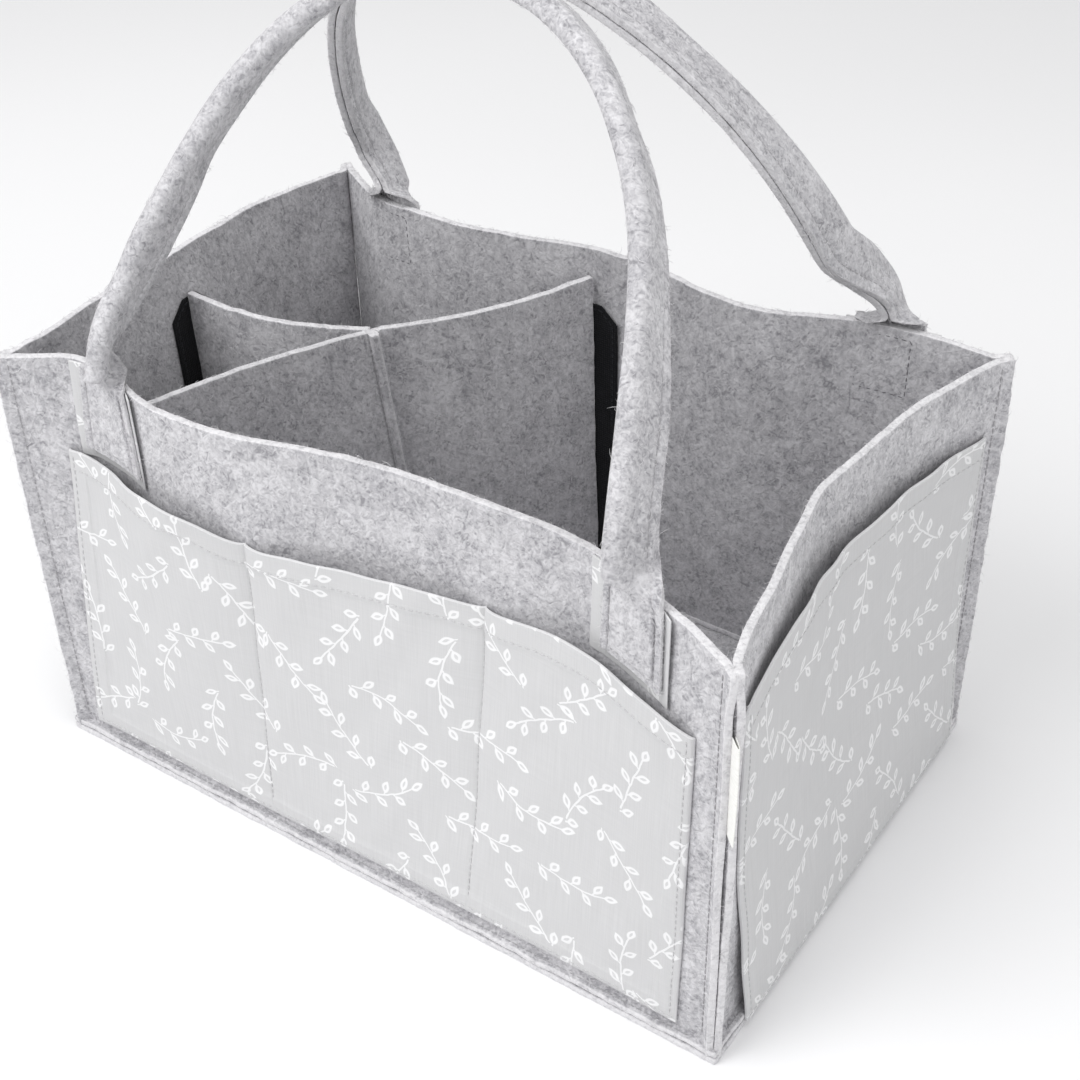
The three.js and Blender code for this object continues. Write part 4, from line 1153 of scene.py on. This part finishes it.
def dividerPlan(v):
    # At each share of the height: the leaves' ends clear of the walls, the seam they meet in, and the
    # directions along and across the long leaf there. The seam leans along the leaf towards its foot.
    def height(key):
        return mix(wallFoot, divider["tops"][key], v)

    standOff = gap + tape["thickness"] + gap
    ends = {key: clearOfWall(walls[key], np.full_like(v, divider["ends"][key], float), height(key), standOff)
            for key in ("front", "back", "left")}
    along = unit((ends["back"] - ends["front"]) * (1, 1, 0))
    seam = np.stack([0 * v + divider["seamX"], 0 * v + divider["seamY"], height("seam")], -1)
    seam = seam + along * (divider["seamLean"] * (1 - v))[:, None]
    return ends, seam, along, leftOf(along)


def bowed(start, end, bow, shares):
    # Points from start to end that bow off the chord by a sine.
    chord = end - start
    return (start[:, None] + chord[:, None] * shares[None, :, None]
            + unit(leftOf(chord))[:, None] * (bow * np.sin(np.pi * shares))[None, :, None])


def beside(line, out):
    # Lines at a distance to one side of level lines.
    return line + leftOf(unit(np.gradient(line, axis=1) * (1, 1, 0))) * out


leafHeights = np.unique(np.r_[0, 0.004, 0.012, np.linspace(0.03, 0.97, 46), 0.988, 0.996, 1])
shares = steps(0, 1, 0.03, (0.004, 0.012))

ridgePlaces = np.array([-0.9, -0.7, -0.62, -0.58, -0.52, -0.44, -0.3, -0.14,
                        0, 0.14, 0.3, 0.44, 0.52, 0.58, 0.62, 0.7, 0.9])


def longLeafGrids():
    # The long leaf runs from the front wall to the back wall. At the seam its felt is pinched: the face
    # on the small side runs straight, and the other swells out by a narrow bell curve.
    ends, seam, along, across = dividerPlan(leafHeights)
    half = divider["ridgeWidth"]
    first = bowed(ends["front"], seam - along * half, divider["frontBow"], shares)
    last = bowed(seam + along * half, ends["back"], -divider["backBow"], shares)
    places = ridgePlaces * half
    pinch = seam[:, None] + along[:, None] * places[None, :, None]
    line = np.concatenate([first, pinch, last], 1)
    outer, inner = beside(line, felt / 2), beside(line, -felt / 2)
    inSeam = divider["ridgeSeam"] * half
    swell = divider["ridgeReach"] * np.clip(1 - (np.abs(places) / inSeam) ** 6, 0, 1) ** 0.5
    dent = divider["dent"] * bell(np.abs(places), 0.74 * half, 0.5)
    groove = divider["crest"] * bell(places, 0, 0.6) - dent
    back = divider["backCrest"] * bell(places, 0, 0.9)
    n = len(shares)
    inner[:, n:n + len(places)] -= across[:, None] * (swell - groove)[None, :, None]
    outer[:, n:n + len(places)] -= across[:, None] * back[None, :, None]
    return outer, inner


def ridgeHighlight(shape):
    # A painted highlight on the ridge's crest, as light as a cut edge, by a bell curve across its right side
    # where it turns to the light, and its middle a little paler as well.
    tone = np.zeros(shape)
    n = len(shares)
    crest = divider["paintedHighlight"] * bell(ridgePlaces, 0.42, 0.16) + divider["pale"] * (np.abs(ridgePlaces) < 0.5)
    tone[:, n:n + len(ridgePlaces)] = crest
    return tone.ravel()


def shortLeafGrids():
    # The short leaf runs from the seam to the left wall in one bow.
    ends, seam, along, across = dividerPlan(leafHeights)
    line = bowed(seam + across * (felt / 2 + gap), ends["left"], divider["shortBow"], shares)
    return beside(line, felt / 2), beside(line, -felt / 2)


def sewDivider():
    # Two rows beside the ridge, and one on each face of each leaf near its end.
    ends, seam, along, across = dividerPlan(leafHeights)
    for side in (-1, 1):
        reach = divider["ridgeSeam"] * divider["ridgeWidth"] + 0.1
        path = seam + along * side * reach - across * (felt / 2 + 1.2)
        sew("divider", path, along * side - across * 0.6)
    for start in (ends[key] for key in ("front", "back", "left")):
        way = unit((seam - start) * (1, 1, 0))
        side = leftOf(way)
        for face in (-1, 1):
            path = start + way * 5 + side * face * (felt / 2 + 0.25)
            sew("divider", path, side * face)


def tapeGrids(key):
    # A flat strip on the wall, whose two upper corners are clipped, with a row of stitches round it.
    wall, top = walls[key], divider["tops"][key] - tape["drops"][key]
    half, clip, inset = tape["width"] / 2, tape["clip"], tape["inset"]

    def clipped(x):
        return np.clip(np.abs(x) - half + clip, 0, None)

    x = steps(-half, half, 1.6, (0.3, 1, 2.2))
    gridX, gridS = np.meshgrid(x, steps(0, 1, 0.03, (0.004, 0.015)))
    gridZ = mix(tape["bottom"], top - clipped(gridX), gridS)
    place = divider["ends"][key] + gridX
    grids = [clearOfWall(wall, place, gridZ, gap + d) for d in (tape["thickness"], 0)]
    side = half - inset
    corners = np.array([(-side, 0.02), (-side, 1), (-half + clip, 1), (half - clip, 1), (side, 1),
                        (side, 0.02), (-side, 0.02)])
    line = throughCorners(corners, 30)
    z = mix(tape["bottom"] + inset, top - inset - clipped(line[:, 0]), line[:, 1])
    path = clearOfWall(wall, divider["ends"][key] + line[:, 0], z, gap + tape["thickness"])
    sew("tape", path, -outwardOf(path, wall), margin=0)
    return grids, np.stack([gridX, gridZ], -1)


leaves = [("longLeaf", "divider_long_leaf", "hookTape_back", longLeafGrids()),
          ("shortLeaf", "divider_short_leaf", "hookTape_left", shortLeafGrids())]
for name, leafNode, tapeName, grids in leaves:
    data = shell(*grids, ragged=box["ragged"])
    # The long leaf's inner face carries the ridge's painted highlight in its edge mask.
    if name == "longLeaf":
        count = grids[0][..., 0].size
        data["edge"][count:2 * count] = ridgeHighlight(grids[0].shape[:2])
    piece = addPiece(name, data, "felt", "divider", [leafNode])
    declare([grids])
    inside = [grid[:, 5:-5] for grid in grids]
    fuzzEdge("divider", *inside, -1, divider["fuzzEdge"])
    for faces in (inside, inside[::-1]):
        fuzz("divider", *scatter(*faces, divider["fuzz"]), fibre["loose"], divider["fuzzStand"])
for key in ("left", "back", "front"):
    grids, uv = tapeGrids(key)
    data = shell(*grids, 0.25, 3, uv=uv)
    piece = addPiece(f"hookTape_{key}", data, "tape", "divider", [f"{key}_hook_tape"])
    declare([grids])
sewDivider()
print("divider made")


# Care label and the box's own stitches.

label = {"height": 45, "middle": 146, "reach": 6, "thickness": 0.3, "open": 0.55, "bow": 0.4}


def labelGrids():
    # A satin loop: its line runs out of the seam, rounds a half circle and runs back.
    insideLength, insideWidth = outsideLength - felt, outsideWidth - felt
    bottom, top = label["middle"] - label["height"] / 2, label["middle"] + label["height"] / 2
    gridW, gridZ = np.meshgrid(np.linspace(-1, 1, 25), steps(bottom, top, 2, (0.4,)))
    share = (gridZ - gridZ.min()) / label["height"]
    reach = label["reach"] * (1 - np.abs(gridW) ** 3)
    apart = label["open"] * np.sin(gridW * np.pi / 2) * (0.5 + 0.5 * share)
    corner = np.array([insideLength, -insideWidth, 0])
    outwardsWay, acrossWay = np.array([1, -1, 0]) / root2, np.array([1, 1, 0]) / root2
    curl = label["bow"] * np.sin(np.pi * share) * (reach / label["reach"]) ** 2
    middle = (corner + outwardsWay * (box["seamAllowance"] + gap + reach)[..., None]
              + acrossWay * (apart + curl)[..., None])
    middle[..., 2] = gridZ
    thick = unit(np.cross(np.gradient(middle, axis=1), (0, 0, 1.0))) * label["thickness"] / 2
    return (middle + thick, middle - thick), np.stack([gridW * label["reach"], gridZ], -1)


grids, uv = labelGrids()
piece = addPiece("careLabel", shell(*grids, 0.1, 3, uv=uv), "satin", "caddy", ["care_label"])
declare([grids])

for key, wall in walls.items():
    crease = wall["crease"]
    for end in (-1, 1):
        v = np.linspace(0.03, 0.995, 60)
        path = wallPoint(wall, np.full_like(v, end * (crease - 0.2)), heightAt(wall, end * crease, v), 0.0)
        shift = turned(np.array([end * 0.7, -0.9, 0]), wall["turn"])
        normals = turned(np.broadcast_to([-end * 0.4, -1.0, 0], path.shape), wall["turn"])
        sew("felt", path + shift, normals)
    x = np.linspace(-crease + 3, crease - 3, 120)
    path = np.stack([x, np.full_like(x, -wall["depth"] - 1.7), np.full_like(x, flangeTop + 0.15)], -1)
    sew("felt", turned(path, wall["turn"]), np.broadcast_to([0, 0, 1.0], path.shape))
# Stitches on the walls' inner faces, in the darker thread that stands in for shade.
for key in ("front", "back"):
    for foot in handle[key]["feet"]:
        path = footBox(walls[key], foot, -felt + 0.1)
        sew("inside", path, -outwardOf(path, walls[key]), margin=0)


def carry(piece, body):
    # Thread and fibres on a handle are fixed in place in the world, as its strap is, and the others ride on
    # a body.
    if body in blends:
        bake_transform(piece)
    else:
        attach(piece, body)


threadSets = {
    "felt": ("feltThread", "felt", "caddy"), "inside": ("shadedThread", "felt", "caddy"),
    "cotton": ("cottonThread", "printed_cotton", "caddy"), "divider": ("feltThread", "felt", "divider"),
    "tape": ("tapeThread", "hook_tape", "divider"), "frontHandle": ("feltThread", "felt", "front"),
    "backHandle": ("feltThread", "felt", "back"),
}
for name, (material, slot, body) in threadSets.items():
    piece = makePiece(f"stitches_{name}", joined(stitchSets[name]), materials[material])
    carry(piece, body)
for name, parts in fibreSets.items():
    piece = makePiece(f"fibres_{name}", joined(parts), materials["fibre"])
    body = {"frontHandle": "front", "backHandle": "back", "divider": "divider"}.get(name, "caddy")
    carry(piece, body)
print("stitches and loose fibres made")


# Floor, light and camera.

scene = bpy.context.scene
scene.view_settings.view_transform = "Standard"

backdrop = {"size": 6.0, "tone": grey(245, 245, 246), "seen": grey(243, 243, 244), "strength": 0.5}


def floorLook(tree, place):
    # A pale tone that varies slowly.
    slow = noise(tree, place, 1.4, 1, 0.4)
    return [ramp(tree, slow, [(0.3, grey(240, 240, 241)), (0.7, backdrop["tone"])])]


floorMesh = bpy.data.meshes.new("floor")
h = backdrop["size"] / 2
floorMesh.from_pydata([(-h, -h, 0), (h, -h, 0), (h, h, 0), (-h, h, 0)], [], [(0, 1, 2, 3)])
floor = bpy.data.objects.new("floor", floorMesh)
scene.collection.objects.link(floor)
floorMesh.materials.append(makeMaterial("pale floor", 0.9, 0.0, "Object", floorLook))
floor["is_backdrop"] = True

world = bpy.data.worlds.new("studio")
scene.world = world
world.use_nodes = True
sky = world.node_tree
sky.nodes.clear()
# The camera sees the backdrop's own tone, and all else is lit by a weaker plain white.
ray = node(sky, "ShaderNodeLightPath").outputs["Is Camera Ray"]
shown = node(sky, "ShaderNodeBackground", None, Color=(*backdrop["seen"], 1), Strength=1.0)
lit = node(sky, "ShaderNodeBackground", None, Color=(1, 1, 1, 1), Strength=backdrop["strength"])
both = node(sky, "ShaderNodeMixShader", None, ray, lit.outputs[0], shown.outputs[0])
node(sky, "ShaderNodeOutputWorld", None, both.outputs[0])

lamps = {
    "key": {"place": (-0.7, -1.2, 1.6), "size": 1.5, "power": 25},
    "fill": {"place": (1.4, -0.6, 1.1), "size": 1.4, "power": 7},
    "top": {"place": (0.1, 0.2, 1.7), "size": 1.0, "power": 7},
}
for name, values in lamps.items():
    lamp = bpy.data.lights.new(name, "AREA")
    lamp.shape, lamp.size, lamp.energy = "DISK", values["size"], values["power"]
    lampObject = bpy.data.objects.new(name, lamp)
    scene.collection.objects.link(lampObject)
    lampObject.location = values["place"]
    lampObject.rotation_mode = "QUATERNION"
    lampObject.rotation_quaternion = (Vector((0, 0, 0.1)) - Vector(values["place"])).to_track_quat("-Z", "Y")

view = {"place": (354.7, -482.3, 565.9), "azimuth": -35.0, "elevation": -37.5, "roll": -1.37, "lens": 59.21}
cameraData = bpy.data.cameras.new("camera")
cameraData.lens, cameraData.sensor_width = view["lens"], 36
cameraData.clip_start, cameraData.clip_end = 0.05, 20
camera = bpy.data.objects.new("camera", cameraData)
scene.collection.objects.link(camera)
az, el, roll = (math.radians(view[k]) for k in ("azimuth", "elevation", "roll"))
forward = Vector((math.sin(az) * math.cos(el), math.cos(az) * math.cos(el), math.sin(el)))
right = forward.cross(Vector((0, 0, 1))).normalized()
up = right.cross(forward)
rightTurned = right * math.cos(roll) + up * math.sin(roll)
upTurned = up * math.cos(roll) - right * math.sin(roll)
turn3 = Matrix((rightTurned, upTurned, -forward)).transposed()
camera.matrix_world = Matrix.Translation(Vector(view["place"]) * mm) @ turn3.to_4x4()
scene.camera = camera

low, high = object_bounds()
print("scene made")
